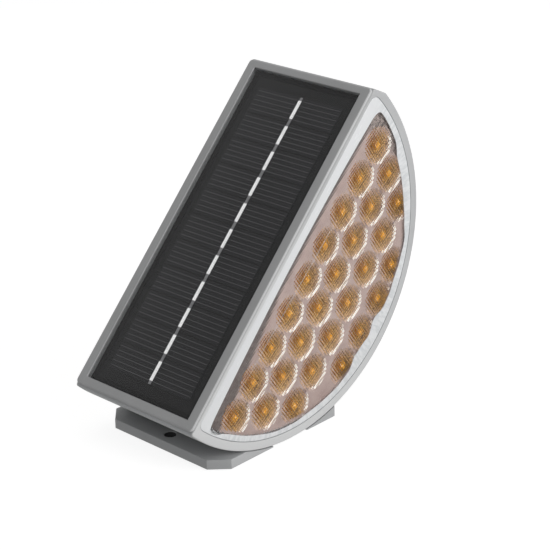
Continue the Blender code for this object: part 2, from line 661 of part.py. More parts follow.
def build_battery_contacts():
    """Back end (+Y): one bridge plate; front end: two leaf contacts that carry the leads."""
    add_part("battery_contact_bridge",
             boxes((-15, 15, TRAY_Y1 - 2.7, TRAY_Y1 - 2.1, BATTERY_Z - 5, BATTERY_Z + 4.5)),
             "contact_nickel", WORLD)
    # tongue section: (Y from the tray's front face, Z from the cell axis)
    tongue_section = ((2.4, -5.2), (3.9, -0.6), (3.9, 0.6), (2.4, 1.8))
    for i, sign in enumerate((-1, 1), 1):
        middle = sign * BATTERY_X
        leaf = add_part(f"battery_contact_leaf_{i}",
                        boxes((middle - 4.5, middle + 4.5, TRAY_Y0 + 2.1, TRAY_Y0 + 2.6,
                               BATTERY_Z - 6, BATTERY_Z + 7)), "contact_nickel", WORLD)
        tongue = bmesh.new()
        corners = [tongue.verts.new((middle + x, TRAY_Y0 + y, BATTERY_Z + z))
                   for x in (-2.4, 2.4) for y, z in tongue_section]
        bmesh.ops.convex_hull(tongue, input=corners)
        join(leaf, tongue, WORLD)


# ---------------------------------------------------------------- push-button switch
def switch_frame(distance):
    """Frame with Z along the switch axis, at a distance from the drum centre."""
    turn = SWITCH_DIR.to_track_quat('Z', 'X').to_matrix().to_4x4()
    return Matrix.Translation((DRUM_CENTRE + SWITCH_DIR * distance) * MM) @ turn


def switch_ring(outer_r, inner_r, start, end, flats=None):
    """Ring on the switch axis; flats gives the outside that many flat sides."""
    shape = bmesh.new()
    matrix = axis_matrix(DRUM_CENTRE, SWITCH_DIR)
    loops = []
    for radius, along in ((outer_r, start), (outer_r, end), (inner_r, end), (inner_r, start)):
        loop = []
        for i in range(SWITCH_SIDES):
            angle = 2 * math.pi * i / SWITCH_SIDES
            reach = radius
            if flats and radius == outer_r:
                side = 2 * math.pi / flats
                reach *= math.cos(side / 2) / math.cos((angle % side) - side / 2)
            point = Vector((reach * math.cos(angle), reach * math.sin(angle), along))
            loop.append(shape.verts.new(matrix @ point))
        loops.append(loop)
    for k in range(4):
        here, after = loops[k], loops[(k + 1) % 4]
        for i in range(SWITCH_SIDES):
            j = (i + 1) % SWITCH_SIDES
            shape.faces.new((here[i], here[j], after[j], after[i]))
    return shape


def build_switch():
    """Switch at the back; distances run outwards from the drum centre."""
    profile = [(5.4, 66.0), (5.4, 85.4), (7.7, 85.4), (7.7, 86.3), (7.2, 86.6)]
    body = add_part("switch_body", turned(profile, SWITCH_SIDES, DRUM_CENTRE, SWITCH_DIR),
                    "switch_black", WORLD)
    cut(body, rod(BUTTON_R + 0.2, 72.0, 90.0, SWITCH_SIDES, DRUM_CENTRE, SWITCH_DIR), WORLD)
    tags = boxes((-3.2, -1.8, -0.4, 0.4, 61.5, 67.0), (1.8, 3.2, -0.4, 0.4, 61.5, 67.0))
    join(body, tags, switch_frame(0.0))
    smooth(body, 30)
    nut = add_part("switch_nut", switch_ring(8.3, 5.7, 78.2, 81.1, flats=6), "nut_brass", WORLD)
    smooth(nut, 30)
    seal = add_part("switch_seal", switch_ring(7.9, 5.9, 84.35, 85.15), "seal_rubber", WORLD)
    smooth(seal, 30)
    profile = [(BUTTON_R, 0.0), (BUTTON_R, 13.4), (BUTTON_R - 0.5, 14.3),
               (BUTTON_R - 1.5, 14.7), (0, 14.8)]
    button = add_part("switch_button", turned(profile, SWITCH_SIDES), "button_rubber",
                      switch_frame(BUTTON_START))
    smooth(button, 40)


# ---------------------------------------------------------------- leads
def body_to_world(x, y, z):
    return Vector((x, DRUM_Y + y * math.cos(TILT) - z * math.sin(TILT),
                   DRUM_Z + y * math.sin(TILT) + z * math.cos(TILT)))


def build_leads(side, number, sign, colour):
    """The four leads on one side of the middle."""
    panel_path = ((2.4, 32.0, -0.82), (2.4, 32.0, -4.0), (3.2, 31.6, -6.0),
                  (5.5, 27.0, -7.2), (9.0, 20.0, -8.1))
    wire(f"panel_lead_{number}", [(sign * x, y, z) for x, y, z in panel_path], 0.45,
         colour, BODY)

    # from the leaf contact (world points) to the control board (body points)
    wire(f"battery_lead_{number}",
         [(sign * BATTERY_X, TRAY_Y0 + 2.35, BATTERY_Z + 7.9),
          (sign * 9.7, DRUM_Y - 33.4, BATTERY_Z + 10.5),
          (sign * 10.0, DRUM_Y - 26.0, BATTERY_Z + 15.5),
          body_to_world(sign * 10.5, -30.0, -20.5),
          body_to_world(sign * 11.0, -4.0, -22.5),
          body_to_world(sign * 11.0, 12.0, -19.5),
          body_to_world(sign * 11.0, 12.0, -13.8)], 0.6, colour)

    led_path = ((12.0, -15.0, -13.8), (12.4, -15.0, -18.0), (17.0, -15.5, -23.0),
                (21.5, -16.0, -26.5), (23.8, -16.0, -28.2))
    wire("led_cable_" + side, [(sign * x, y, z) for x, y, z in led_path], 0.8,
         "lead_black", BODY)

    start = DRUM_CENTRE + SWITCH_DIR * 61.0 + Vector((sign * 2.5, 0, 0))
    end = body_to_world(sign * 2.0, 12.5, -15.1)
    wire(f"switch_lead_{number}",
         [start, start - SWITCH_DIR * 6.0 + Vector((0, 0, -2)),
          start.lerp(end, 0.5) + Vector((sign * 1.0, 2, -9)),
          body_to_world(sign * 2.0, 12.5, -21.0), end], 0.5, colour)


build_base_plate()
build_housing()
build_panel()
for side_name, side_sign in SIDES:
    build_lens(side_name, side_sign)
    build_reflector(side_name, side_sign)
    build_led_board(side_name, side_sign)
build_control_board()
build_battery_tray()
build_battery_cells()
build_battery_contacts()
build_switch()
build_leads("left", 1, -1, "lead_red")
build_leads("right", 2, 1, "lead_black")
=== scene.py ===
# Solar barricade warning light: a D-shaped drum on a base plate, with a solar panel on its
# sloped face, a lens with LEDs on each side, and a push-button switch at the back.
#
# World frame: X across the drum, +Y to the back, Z up, with the base plate standing on z = 0.
# Tilted frame: origin on the drum's axis, X across, Y up the slope, Z out of the sloped face.
# Outlines that run along X are lists of tilted (y, z). Lengths are in mm until a mesh is made.
import bpy
import bmesh
import math
import json
from mathutils import Matrix, Vector

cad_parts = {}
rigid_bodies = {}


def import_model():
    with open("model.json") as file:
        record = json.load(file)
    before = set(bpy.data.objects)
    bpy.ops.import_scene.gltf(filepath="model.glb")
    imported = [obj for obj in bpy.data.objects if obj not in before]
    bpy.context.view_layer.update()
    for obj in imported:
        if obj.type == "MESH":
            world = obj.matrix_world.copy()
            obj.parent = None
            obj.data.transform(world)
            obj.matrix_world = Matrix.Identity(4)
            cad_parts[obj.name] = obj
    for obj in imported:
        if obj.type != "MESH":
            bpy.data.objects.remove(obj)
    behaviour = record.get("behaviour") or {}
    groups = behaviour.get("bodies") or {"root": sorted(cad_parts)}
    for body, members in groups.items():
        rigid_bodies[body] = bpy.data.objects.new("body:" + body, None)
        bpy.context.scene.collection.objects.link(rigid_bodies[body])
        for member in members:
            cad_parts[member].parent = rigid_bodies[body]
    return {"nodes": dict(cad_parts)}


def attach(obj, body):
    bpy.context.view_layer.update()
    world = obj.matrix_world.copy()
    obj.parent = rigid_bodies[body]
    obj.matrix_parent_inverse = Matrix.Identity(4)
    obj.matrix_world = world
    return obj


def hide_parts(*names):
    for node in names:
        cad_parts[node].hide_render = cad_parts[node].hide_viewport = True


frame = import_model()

NODES = frame["nodes"]
for old in list(bpy.data.objects):
    if old.type in {'MESH', 'CAMERA', 'LIGHT'} and old.name not in NODES:
        bpy.data.objects.remove(old, do_unlink=True)

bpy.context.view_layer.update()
MM = 0.001

# ---------------------------------------------------------------- shared dimensions
TILT = math.radians(46.85)
DRUM_Y, DRUM_Z, DRUM_R = 3.93, 85.1, 84.9      # the drum's axis in the world, and its radius
HALF_W = 36.0                                  # half the drum's width

# lens and its pocket in the housing's side
LENS_R, LENS_TOP, LENS_GAP = 80.7, 0.6, 0.09   # radius, flat side's z, gap to the pocket
LENS_X0, LENS_X1 = 33.2, HALF_W
WINDOW_X = 35.8                                # outer face of the window
LENS_INNER_R, LENS_INNER_TOP, LENS_INNER_X = 78.4, -2.2, 34.8

# panel opening in the sloped face
PANEL_Y = -0.9                                 # middle of the panel
OPEN_X, OPEN_Y = 31.0, 78.7                    # half sizes of the opening
RECESS_Z, CAVITY_TOP = -0.95, -3.2             # bottom of the recess, underside of its floor

# base plate and its screws, in the world frame
PLATE_X, PLATE_Y, PLATE_T = HALF_W, 40.4, 4.6  # half sizes and thickness
BASE_SCREWS = [(x, DRUM_Y + y) for y in (-17.0, 17.0) for x in (-12.0, 12.0)]

# LED boards, reflectors and LEDs
REFL_X0, REFL_X1 = 26.0, 34.5
CUP_R = 8.55
PCB_X0, PCB_X1 = 24.1, 25.7
LED_TIP_X, LED_R, LED_MAX_R = 34.3, 2.5, 73.4  # LED_MAX_R: farthest from the drum's axis
# columns of LEDs: z, y of the middle, count, pitch
LED_COLUMNS = ((-19.1, -1.5, 9, 16.7), (-35.0, 0.57, 8, 16.9),
               (-51.6, 2.44, 7, 17.17), (-69.5, 4.42, 4, 17.3))
BOARD_SCREWS = ((-50.2, -27.0), (50.6, -27.0), (-5.0, -60.3))      # y, z
BOARD_SCREW_R = 1.3

DRUM_CENTRE = Vector((0, DRUM_Y, DRUM_Z))
SLOPE_UP = Vector((0, math.cos(TILT), math.sin(TILT)))
SLOPE_OUT = Vector((0, -math.sin(TILT), math.cos(TILT)))
SWITCH_DOWN = math.radians(10.0)
SWITCH_AXIS = Vector((0, math.cos(SWITCH_DOWN), -math.sin(SWITCH_DOWN)))

TILTED = Matrix.Translation((0, DRUM_Y * MM, DRUM_Z * MM)) @ Matrix.Rotation(TILT, 4, 'X')
WORLD = Matrix.Identity(4)


# ---------------------------------------------------------------- shader graphs
class Graph:
    """Node graph of a material or a world."""

    def __init__(self, data, output='OutputMaterial'):
        self.data = data
        data.use_nodes = True
        self.tree = data.node_tree
        self.tree.nodes.clear()
        self.output = self.node(output)

    def node(self, kind, **settings):
        node = self.tree.nodes.new('ShaderNode' + kind)
        for key, value in settings.items():
            setattr(node, key, value)
        return node

    def feed(self, socket, value):
        """Links a socket to another node's output, or sets its value. None leaves it alone."""
        if isinstance(value, bpy.types.NodeSocket):
            self.tree.links.new(value, socket)
        elif value is not None:
            if isinstance(value, tuple) and len(value) == 3 and socket.type == 'RGBA':
                value += (1.0,)
            socket.default_value = value

    def calc(self, kind, *values, **settings):
        """New node with its inputs fed in order. Returns its first output."""
        node = self.node(kind, **settings)
        for socket, value in zip(node.inputs, values):
            self.feed(socket, value)
        return node.outputs[0]

    def build(self, kind, **inputs):
        """New node with its inputs fed by name. Returns its first output."""
        node = self.node(kind)
        for key, value in inputs.items():
            self.feed(node.inputs[key.replace('_', ' ')], value)
        return node.outputs[0]

    def math(self, operation, *values, **settings):
        return self.calc('Math', *values, operation=operation, **settings)

    def add(self, first, second, **settings):
        return self.math('ADD', first, second, **settings)

    def mul(self, first, *others):
        for other in others:
            first = self.math('MULTIPLY', first, other)
        return first

    def sub(self, first, second):
        return self.math('SUBTRACT', first, second)

    def mix(self, share, first, second):
        """Mixes two colours."""
        node = self.node('Mix', data_type='RGBA')
        for index, value in ((0, share), (6, first), (7, second)):
            self.feed(node.inputs[index], value)
        return node.outputs[2]

    def blend(self, share, first, second):
        """Mixes two shaders."""
        return self.calc('MixShader', share, first, second)

    def coords(self, scale=None, turn=(0, 0, 0)):
        place = self.node('TexCoord').outputs['Object']
        if scale is None:
            return place
        mapping = self.node('Mapping')
        self.feed(mapping.inputs['Vector'], place)
        mapping.inputs['Scale'].default_value = scale
        mapping.inputs['Rotation'].default_value = turn
        return mapping.outputs[0]

    def tilted(self):
        """Coordinates in the tilted frame, in metres."""
        mapping = self.node('Mapping', vector_type='TEXTURE')
        self.feed(mapping.inputs['Vector'], self.coords())
        mapping.inputs['Location'].default_value = (0, DRUM_Y * MM, DRUM_Z * MM)
        mapping.inputs['Rotation'].default_value = (TILT, 0, 0)
        return mapping.outputs[0]

    def split(self, vector):
        node = self.node('SeparateXYZ')
        self.feed(node.inputs[0], vector)
        return tuple(node.outputs)

    def noise(self, place, scale, detail=3.0, rough=0.55):
        return self.build('TexNoise', Vector=place, Scale=scale, Detail=detail, Roughness=rough)

    def span(self, value, over, to=(0.0, 1.0), smooth=False):
        """Maps a value from one range to another and clamps it."""
        return self.calc('MapRange', value, *over, *to, clamp=True,
                         interpolation_type='SMOOTHSTEP' if smooth else 'LINEAR')

    def attribute(self, name):
        node = self.node('Attribute', attribute_name=name, attribute_type='GEOMETRY')
        return node.outputs['Fac']

    def bump(self, height, strength, distance, normal=None):
        return self.build('Bump', Strength=strength, Distance=distance, Height=height,
                          Normal=normal)

    def edges(self, over=(0.51, 0.60)):
        """1 on sharp convex edges."""
        return self.span(self.node('NewGeometry').outputs['Pointiness'], over)

    def sheen_share(self, ior, geometry):
        """Half the mirror share of a clear sheet, on front faces only."""
        fresnel = self.build('Fresnel', IOR=ior)
        front = self.sub(1.0, geometry.outputs['Backfacing'])
        return self.mul(fresnel, 0.5, front)

    def done(self, shader):
        self.tree.links.new(shader, self.output.inputs['Surface'])
        return self.data

    def surface(self, **inputs):
        return self.done(self.build('BsdfPrincipled', **inputs))


def material(name):
    return Graph(bpy.data.materials.new(name))


def scaled(colour, factor):
    return tuple(min(1.0, v * factor) for v in colour)


# ---------------------------------------------------------------- materials
MID = (0.3, 0.7)          # the middle of a noise's range
CUP_GLOW = 0.29           # glow of the reflector, standing in for light between its mirrors
PRISM_PITCH = 1.30        # mm between the ridges of the window
PRISM_TILT = 0.85         # how far a ridge leans the normal
PRISM_RUNS = ((0.17, 0.985), (-0.983, 0.184))      # (y, z) directions across the ridges


def plastic(name, colour, rough, grain=0.18, edge_wear_and_highlight=0.10, lit_low_colour=None):
    """Moulded plastic: broad tone change, fine grain, faint rubbed edges and painted edge
    highlights, and scuffs.
    The low colour, a painted light, takes over towards the low end of the slope."""
    mat = material(name)
    place = mat.coords()
    broad = mat.noise(place, scale=38.0, detail=4.0)
    fine = mat.noise(place, scale=2600.0, detail=2.0)
    drag = mat.coords((900, 90, 300), turn=(0.4, 0.3, 0.7))
    scuff = mat.span(mat.noise(drag, scale=1.0, detail=4.0, rough=0.7), over=(0.62, 0.8))
    tone = mat.mix(mat.span(broad, MID), scaled(colour, 0.94), scaled(colour, 1.06))
    # painted light: lighter towards the low end of the slope
    if lit_low_colour:
        y = mat.split(mat.tilted())[1]
        low = mat.span(y, over=(0.055, -0.045), smooth=True)
        tone = mat.mix(low, tone, lit_low_colour)
    # rubbed edges, and painted edge highlights where the edge setting is high
    tone = mat.mix(mat.mul(mat.edges(), edge_wear_and_highlight), tone, scaled(colour, 1.55))
    tone = mat.mix(mat.mul(scuff, 0.05), tone, scaled(colour, 1.4))
    roughness = mat.add(mat.span(broad, over=(0.25, 0.75), to=(rough - 0.05, rough + 0.07)),
                        mat.mul(scuff, 0.08))
    scuffed = mat.bump(scuff, strength=0.10, distance=0.00002)
    return mat.surface(Base_Color=tone, Roughness=roughness, Specular_IOR_Level=0.4,
                       Normal=mat.bump(fine, grain, distance=0.00004, normal=scuffed))


def metal(name, colour, rough):
    """Plated metal: fine brushing, patchy tarnish, brighter rubbed edges."""
    mat = material(name)
    patch = mat.noise(mat.coords(), scale=160.0, detail=4.0)
    lines = mat.noise(mat.coords((4000, 4000, 400)), scale=1.0)
    tone = mat.mix(mat.span(patch, over=(0.35, 0.75)), colour, scaled(colour, 0.75))
    tone = mat.mix(mat.mul(mat.edges(), 0.4), tone, scaled(colour, 1.25))
    roughness = mat.add(mat.span(patch, MID, to=(rough - 0.06, rough + 0.1)),
                        mat.span(lines, MID, to=(-0.04, 0.05)))
    return mat.surface(Base_Color=tone, Roughness=roughness, Metallic=1.0,
                       Normal=mat.bump(lines, strength=0.12, distance=0.00003))


def rubber(name, colour, rough):
    """Matt rubber with a pale dusting."""
    mat = material(name)
    place = mat.coords()
    dust = mat.noise(place, scale=420.0, detail=5.0, rough=0.7)
    dusty = scaled(tuple(v + 0.02 for v in colour), 1.5)
    return mat.surface(
        Base_Color=mat.mix(mat.span(dust, over=(0.45, 0.75)), colour, dusty),
        Roughness=mat.span(dust, MID, to=(rough - 0.08, rough + 0.1)),
        Normal=mat.bump(mat.noise(place, scale=3200.0), strength=0.25, distance=0.00004),
        Specular_IOR_Level=0.3)


def board(name, colour, trace_colour, specular=0.5):
    """Masked circuit board: weave under the mask, and traces."""
    mat = material(name)
    place = mat.coords()
    weave = mat.mul(mat.noise(mat.coords((3000, 300, 300)), scale=1.0, detail=1.0),
                    mat.noise(mat.coords((300, 300, 3000)), scale=1.0, detail=1.0))
    traces = mat.noise(mat.coords((60, 420, 420)), scale=1.0, detail=0.0)
    tone = mat.mix(mat.span(traces, over=(0.49, 0.52)), colour, trace_colour)
    tone = mat.mix(mat.span(weave, over=(0.15, 0.35), to=(0.0, 0.25)), tone,
                   scaled(trace_colour, 1.3))
    return mat.surface(Base_Color=tone, Specular_IOR_Level=specular,
                       Roughness=mat.span(mat.noise(place, scale=200.0), MID, to=(0.3, 0.45)),
                       Normal=mat.bump(weave, strength=0.2, distance=0.00003))


def cell_wrap():
    """Heat-shrink sleeve of a battery cell: blue film with pull lines."""
    mat = material("cell_wrap")
    lines = mat.noise(mat.coords((40, 900, 40)), scale=1.0)
    tone = mat.mix(mat.span(lines, over=(0.35, 0.7)), (0.03, 0.13, 0.42), (0.05, 0.2, 0.55))
    return mat.surface(Base_Color=tone, Roughness=mat.span(lines, MID, to=(0.22, 0.38)),
                       Normal=mat.bump(lines, strength=0.15, distance=0.00005))


def cell_silicon():
    """Solar cell: near-black coat with a faint crystal tone change."""
    mat = material("cell_silicon")
    place = mat.coords()
    broad = mat.noise(place, scale=30.0, detail=2.0)
    speck = mat.noise(place, scale=3000.0, detail=2.0)
    tone = mat.mix(mat.span(broad, MID), (0.006, 0.006, 0.007), (0.013, 0.013, 0.015))
    tone = mat.mix(mat.span(speck, over=(0.55, 0.75), to=(0.0, 0.35)), tone,
                   (0.03, 0.03, 0.034))
    return mat.surface(Base_Color=tone, Roughness=mat.span(broad, MID, to=(0.38, 0.5)),
                       Normal=mat.bump(speck, strength=0.2, distance=0.00003),
                       Specular_IOR_Level=0.15)


def tin(name, colour, rough, glow=0.0):
    """Solder-coated strip: bright metal with small dull, pitted patches; glow makes it shine as
    a painted glint.
    """
    mat = material(name)
    pits = mat.noise(mat.coords(), scale=900.0)
    tone = mat.mix(mat.span(pits, over=(0.5, 0.75), to=(0.0, 0.5)), colour, scaled(colour, 0.6))
    emission = {}
    # painted highlight: the strip glows as a painted glint
    if glow:
        strength = mat.span(pits, over=(0.45, 0.7), to=(glow, glow * 0.6))
        emission = {"Emission_Color": (1.0, 1.0, 1.0), "Emission_Strength": strength}
    return mat.surface(Base_Color=tone, Roughness=mat.span(pits, MID, to=(rough, rough + 0.15)),
                       Metallic=1.0, Normal=mat.bump(pits, strength=0.2, distance=0.00003),
                       **emission)


def panel_cover():
    """Clear hard sheet with faint orange peel, dust and a soft sheen."""
    mat = material("panel_cover")
    place = mat.coords()
    peel = mat.noise(place, scale=260.0, detail=2.0)
    dust = mat.noise(place, scale=2200.0, rough=0.7)
    sheen = mat.build('BsdfGlossy', Color=(1.0, 1.0, 1.0),
                      Roughness=mat.span(dust, MID, to=(0.08, 0.22)),
                      Normal=mat.bump(peel, strength=0.05, distance=0.0001))
    clear = mat.build('BsdfTransparent', Color=(0.97, 0.97, 0.97))
    haze = mat.build('BsdfDiffuse', Color=mat.mix(mat.span(dust, over=(0.4, 0.7)),
                                                  (0.10, 0.10, 0.105), (0.16, 0.16, 0.165)))
    dusty = mat.blend(mat.span(dust, MID, to=(0.05, 0.11)), clear, haze)
    share = mat.sheen_share(ior=1.42, geometry=mat.node('NewGeometry'))
    return mat.done(mat.blend(share, dusty, sheen))


def ridged_normal(mat, normal):
    """Leans a normal to and fro across the two families of prism ridges."""
    place = mat.tilted()
    _, y, z = mat.split(place)
    wave = 2 * math.pi / (PRISM_PITCH * MM)
    wobble = mat.mul(mat.noise(place, scale=240.0, detail=2.0), 1.2)
    for run_y, run_z in PRISM_RUNS:
        phase = mat.add(mat.mul(y, wave * run_y), mat.mul(z, wave * run_z))
        ridge = mat.math('SINE', mat.add(phase, wobble))
        lean = mat.span(ridge, over=(-0.35, 0.35), to=(-PRISM_TILT, PRISM_TILT))
        across = tuple(SLOPE_UP * run_y + SLOPE_OUT * run_z)
        step = mat.calc('VectorMath', across, None, None, lean, operation='SCALE')
        normal = mat.calc('VectorMath', normal, step, operation='ADD')
    return mat.calc('VectorMath', normal, operation='NORMALIZE')


def window_outer():
    """Outer face of the lens window. Small prisms break up what lies behind."""
    mat = material("lens_window")
    clear = mat.build('BsdfTransparent', Color=(0.97, 0.965, 0.96))
    place = mat.tilted()
    geometry = mat.node('NewGeometry')
    normal = ridged_normal(mat, geometry.outputs['Normal'])
    bent = mat.build('BsdfRefraction', Color=(0.97, 0.965, 0.96), Roughness=0.0, IOR=1.42,
                     Normal=normal)
    seen = mat.blend(mat.node('LightPath').outputs['Is Camera Ray'], clear, bent)
    rough = mat.span(mat.noise(place, scale=500.0), MID, to=(0.10, 0.2))
    sheen = mat.build('BsdfGlossy', Roughness=rough, Color=(0.95, 0.97, 1.0), Normal=normal)
    # painted reflection: one faint pale line runs up the window beside the straight edge
    _, y, z = mat.split(place)
    off_line = mat.add(mat.add(z, 0.0151), mat.mul(y, 0.045))
    ends = mat.mul(mat.span(y, over=(-0.056, -0.045)), mat.span(y, over=(0.030, 0.020)))
    reflection_line = mat.mul(mat.span(mat.math('ABSOLUTE', off_line), over=(0.00012, 0.0004),
                            to=(1.0, 0.0)), ends)
    pale = mat.build('BsdfDiffuse', Color=(0.9, 0.9, 0.88))
    glossy = mat.blend(mat.sheen_share(ior=1.45, geometry=geometry), seen, sheen)
    return mat.done(mat.blend(mat.mul(reflection_line, 0.28), glossy, pale))


def window_inner():
    """Inner face of the lens window: clear, with a trace of haze."""
    mat = material("lens_window_inner")
    clear = mat.build('BsdfTransparent', Color=(0.97, 0.965, 0.96))
    place = mat.tilted()
    haze = mat.build('BsdfDiffuse', Color=(0.8, 0.8, 0.8))
    share = mat.span(mat.noise(place, scale=900.0), over=(0.45, 0.8), to=(0.0, 0.02))
    return mat.done(mat.blend(share, clear, haze))


def lens_rim():
    """Thick clear rim seen as milky white: radial drag marks, bluish far from the slope."""
    mat = material("lens_rim")
    place = mat.tilted()
    x, y, z = mat.split(place)
    angle = mat.math('ARCTAN2', y, z)
    radius = mat.math('SQRT', mat.add(mat.mul(y, y), mat.mul(z, z)))
    polar = mat.calc('CombineXYZ', mat.mul(angle, 46.0), mat.mul(radius, 160.0),
                     mat.mul(x, 90.0))
    streak = mat.noise(polar, scale=1.0, rough=0.6)
    on_arc = mat.span(radius, over=(0.0705, 0.0725))
    deep = mat.mul(on_arc, mat.span(z, over=(-0.012, -0.003), to=(1.0, 0.0)))
    outer = mat.span(radius, over=(0.072, 0.0803))
    blue = mat.mul(mat.span(streak, over=(0.42, 0.66)), mat.mul(deep, 0.75))
    tone = mat.mix(blue, (0.80, 0.81, 0.82), (0.50, 0.53, 0.545))
    tone = mat.mix(mat.mul(outer, deep, 0.25), tone, (0.86, 0.87, 0.87))
    tone = mat.mix(mat.mul(mat.edges(over=(0.51, 0.58)), 0.5), tone, (0.88, 0.9, 0.91))
    ripple = mat.bump(mat.noise(place, scale=900.0, detail=2.0), strength=0.08,
                      distance=0.00005)
    return mat.surface(Base_Color=tone, Roughness=mat.span(streak, MID, to=(0.16, 0.3)),
                       Normal=mat.bump(streak, strength=0.25, distance=0.0002, normal=ripple),
                       Specular_IOR_Level=0.5, Coat_Weight=0.3, Coat_Roughness=0.08)


def reflector_cup():
    """Plated cup wall in grey-pink, with a painted amber reflection of the lamp, a painted
    shadow and a painted highlight, laid out from two attributes.
    """
    mat = material("reflector_cup")
    radius = mat.attribute("cup_r")      # 0 on the cup's axis, 1 at its mouth
    # cup_a is 1 on the side that gets the painted reflection and painted highlight
    facing = mat.attribute("cup_a")      # 1 on the bright side, -1 opposite
    place = mat.tilted()
    mottle = mat.noise(place, scale=420.0, detail=2.0, rough=0.6)
    facets = mat.node('TexVoronoi', feature='F1')
    mat.feed(facets.inputs['Vector'], place)
    facets.inputs['Scale'].default_value = 1500.0
    facet = mat.node('SeparateColor')
    mat.feed(facet.inputs[0], facets.outputs['Color'])
    pattern = mat.add(mat.mul(facet.outputs[0], 0.8),
                      mat.span(mottle, over=(0.35, 0.65), to=(-0.1, 0.3)), use_clamp=True)
    grey = mat.mix(pattern, (0.10, 0.075, 0.07), (0.74, 0.61, 0.56))
    amber = mat.mix(pattern, (0.11, 0.048, 0.014), (0.97, 0.60, 0.14))
    violet = mat.mul(mat.span(facet.outputs[1], over=(0.72, 0.78)), 0.5)
    grey = mat.mix(violet, grey, (0.40, 0.30, 0.44))
    # painted reflection: amber on that side and round the lamp
    reflection_side = mat.span(facing, over=(-0.55, 0.6))
    tone = mat.mix(mat.mul(reflection_side, mat.span(radius, over=(1.02, 0.70)), 0.9), grey, amber)
    tone = mat.mix(mat.mul(mat.span(radius, over=(0.60, 0.3)), 0.8), tone, amber)
    # painted shadow: dark crescent part way out, the lamp's shade
    led_shadow = mat.mul(mat.mul(mat.span(radius, over=(0.36, 0.46)),
                           mat.span(radius, over=(0.72, 0.58))),
                   mat.span(facing, over=(0.1, 0.6)))
    tone = mat.mix(mat.mul(led_shadow, 0.7), tone, (0.05, 0.035, 0.03))
    # painted highlight: white arc at the mouth, which also glows
    arc = mat.mul(mat.span(radius, over=(0.925, 0.955)), mat.span(facing, over=(0.42, 0.62)))
    tone = mat.mix(arc, tone, (0.97, 0.95, 0.90))
    # painted light: paler wall opposite
    back = mat.mul(mat.span(radius, over=(0.60, 0.92)), mat.span(facing, over=(0.35, -0.3)))
    tone = mat.mix(mat.mul(back, 0.82), tone,
                   mat.mix(pattern, (0.36, 0.27, 0.25), (0.76, 0.63, 0.59)))
    return mat.surface(Base_Color=tone, Roughness=mat.span(mottle, MID, to=(0.25, 0.4)),
                       Metallic=0.1, Normal=mat.bump(pattern, strength=0.35, distance=0.0002),
                       Emission_Color=tone,
                       Emission_Strength=mat.add(mat.mul(arc, 0.30), CUP_GLOW))


def reflector_deck():
    """Plated deck between the cups: grey-pink mirror, with painted shade along the straight
    side.
    """
    mat = material("reflector_deck")
    place = mat.tilted()
    flow = mat.noise(place, scale=120.0, detail=4.0)
    fine = mat.noise(place, scale=1300.0)
    tone = mat.mix(mat.span(flow, MID), (0.34, 0.255, 0.235), (0.44, 0.345, 0.32))
    tone = mat.mix(mat.span(fine, over=(0.5, 0.7), to=(0.0, 0.25)), tone, (0.26, 0.19, 0.17))
    # painted shade: dark band along a bowed edge, widening towards the low end
    _, y, z = mat.split(place)
    edge = mat.sub(mat.mul(y, y, -0.40), 0.0038)
    depth = mat.sub(edge, z)
    width = mat.span(y, over=(-0.015, -0.060), to=(0.0030, 0.0072))
    shade_band = mat.span(mat.sub(depth, width), over=(-0.0006, 0.0006), to=(1.0, 0.0))
    dull = mat.mix(mat.span(fine, over=(0.4, 0.6)), (0.025, 0.021, 0.02), (0.11, 0.095, 0.09))
    tone = mat.mix(mat.mul(shade_band, 0.85), tone, dull)
    # speckled patch at the upper end
    speckle = mat.mix(mat.span(fine, over=(0.45, 0.55)), (0.03, 0.025, 0.025),
                      (0.35, 0.3, 0.28))
    tone = mat.mix(mat.mul(mat.span(y, over=(0.066, 0.070)), 0.9), tone, speckle)
    return mat.surface(Base_Color=tone, Roughness=mat.span(flow, MID, to=(0.3, 0.45)),
                       Metallic=0.1, Normal=mat.bump(fine, strength=0.15, distance=0.0001),
                       Emission_Color=tone, Emission_Strength=CUP_GLOW)


def led_amber():
    """Amber epoxy dome: deeper colour down the sides, hot spot over the chip."""
    mat = material("led_amber")
    radius = mat.attribute("led_r")
    swirl = mat.noise(mat.tilted(), scale=700.0, detail=2.0)
    tone = mat.mix(mat.span(radius, over=(0.25, 0.9)), (0.74, 0.31, 0.008),
                   (0.34, 0.125, 0.008))
    tone = mat.mix(mat.span(swirl, over=(0.45, 0.7), to=(0.0, 0.4)), tone, (0.95, 0.60, 0.10))
    glow = mat.span(radius, over=(0.15, 0.6), to=(0.24, 0.03))
    return mat.surface(Base_Color=tone, Roughness=0.15,
                       Normal=mat.bump(swirl, strength=0.1, distance=0.0001),
                       Emission_Color=(0.92, 0.38, 0.012), Emission_Strength=glow,
                       Coat_Weight=0.3, Coat_Roughness=0.08)


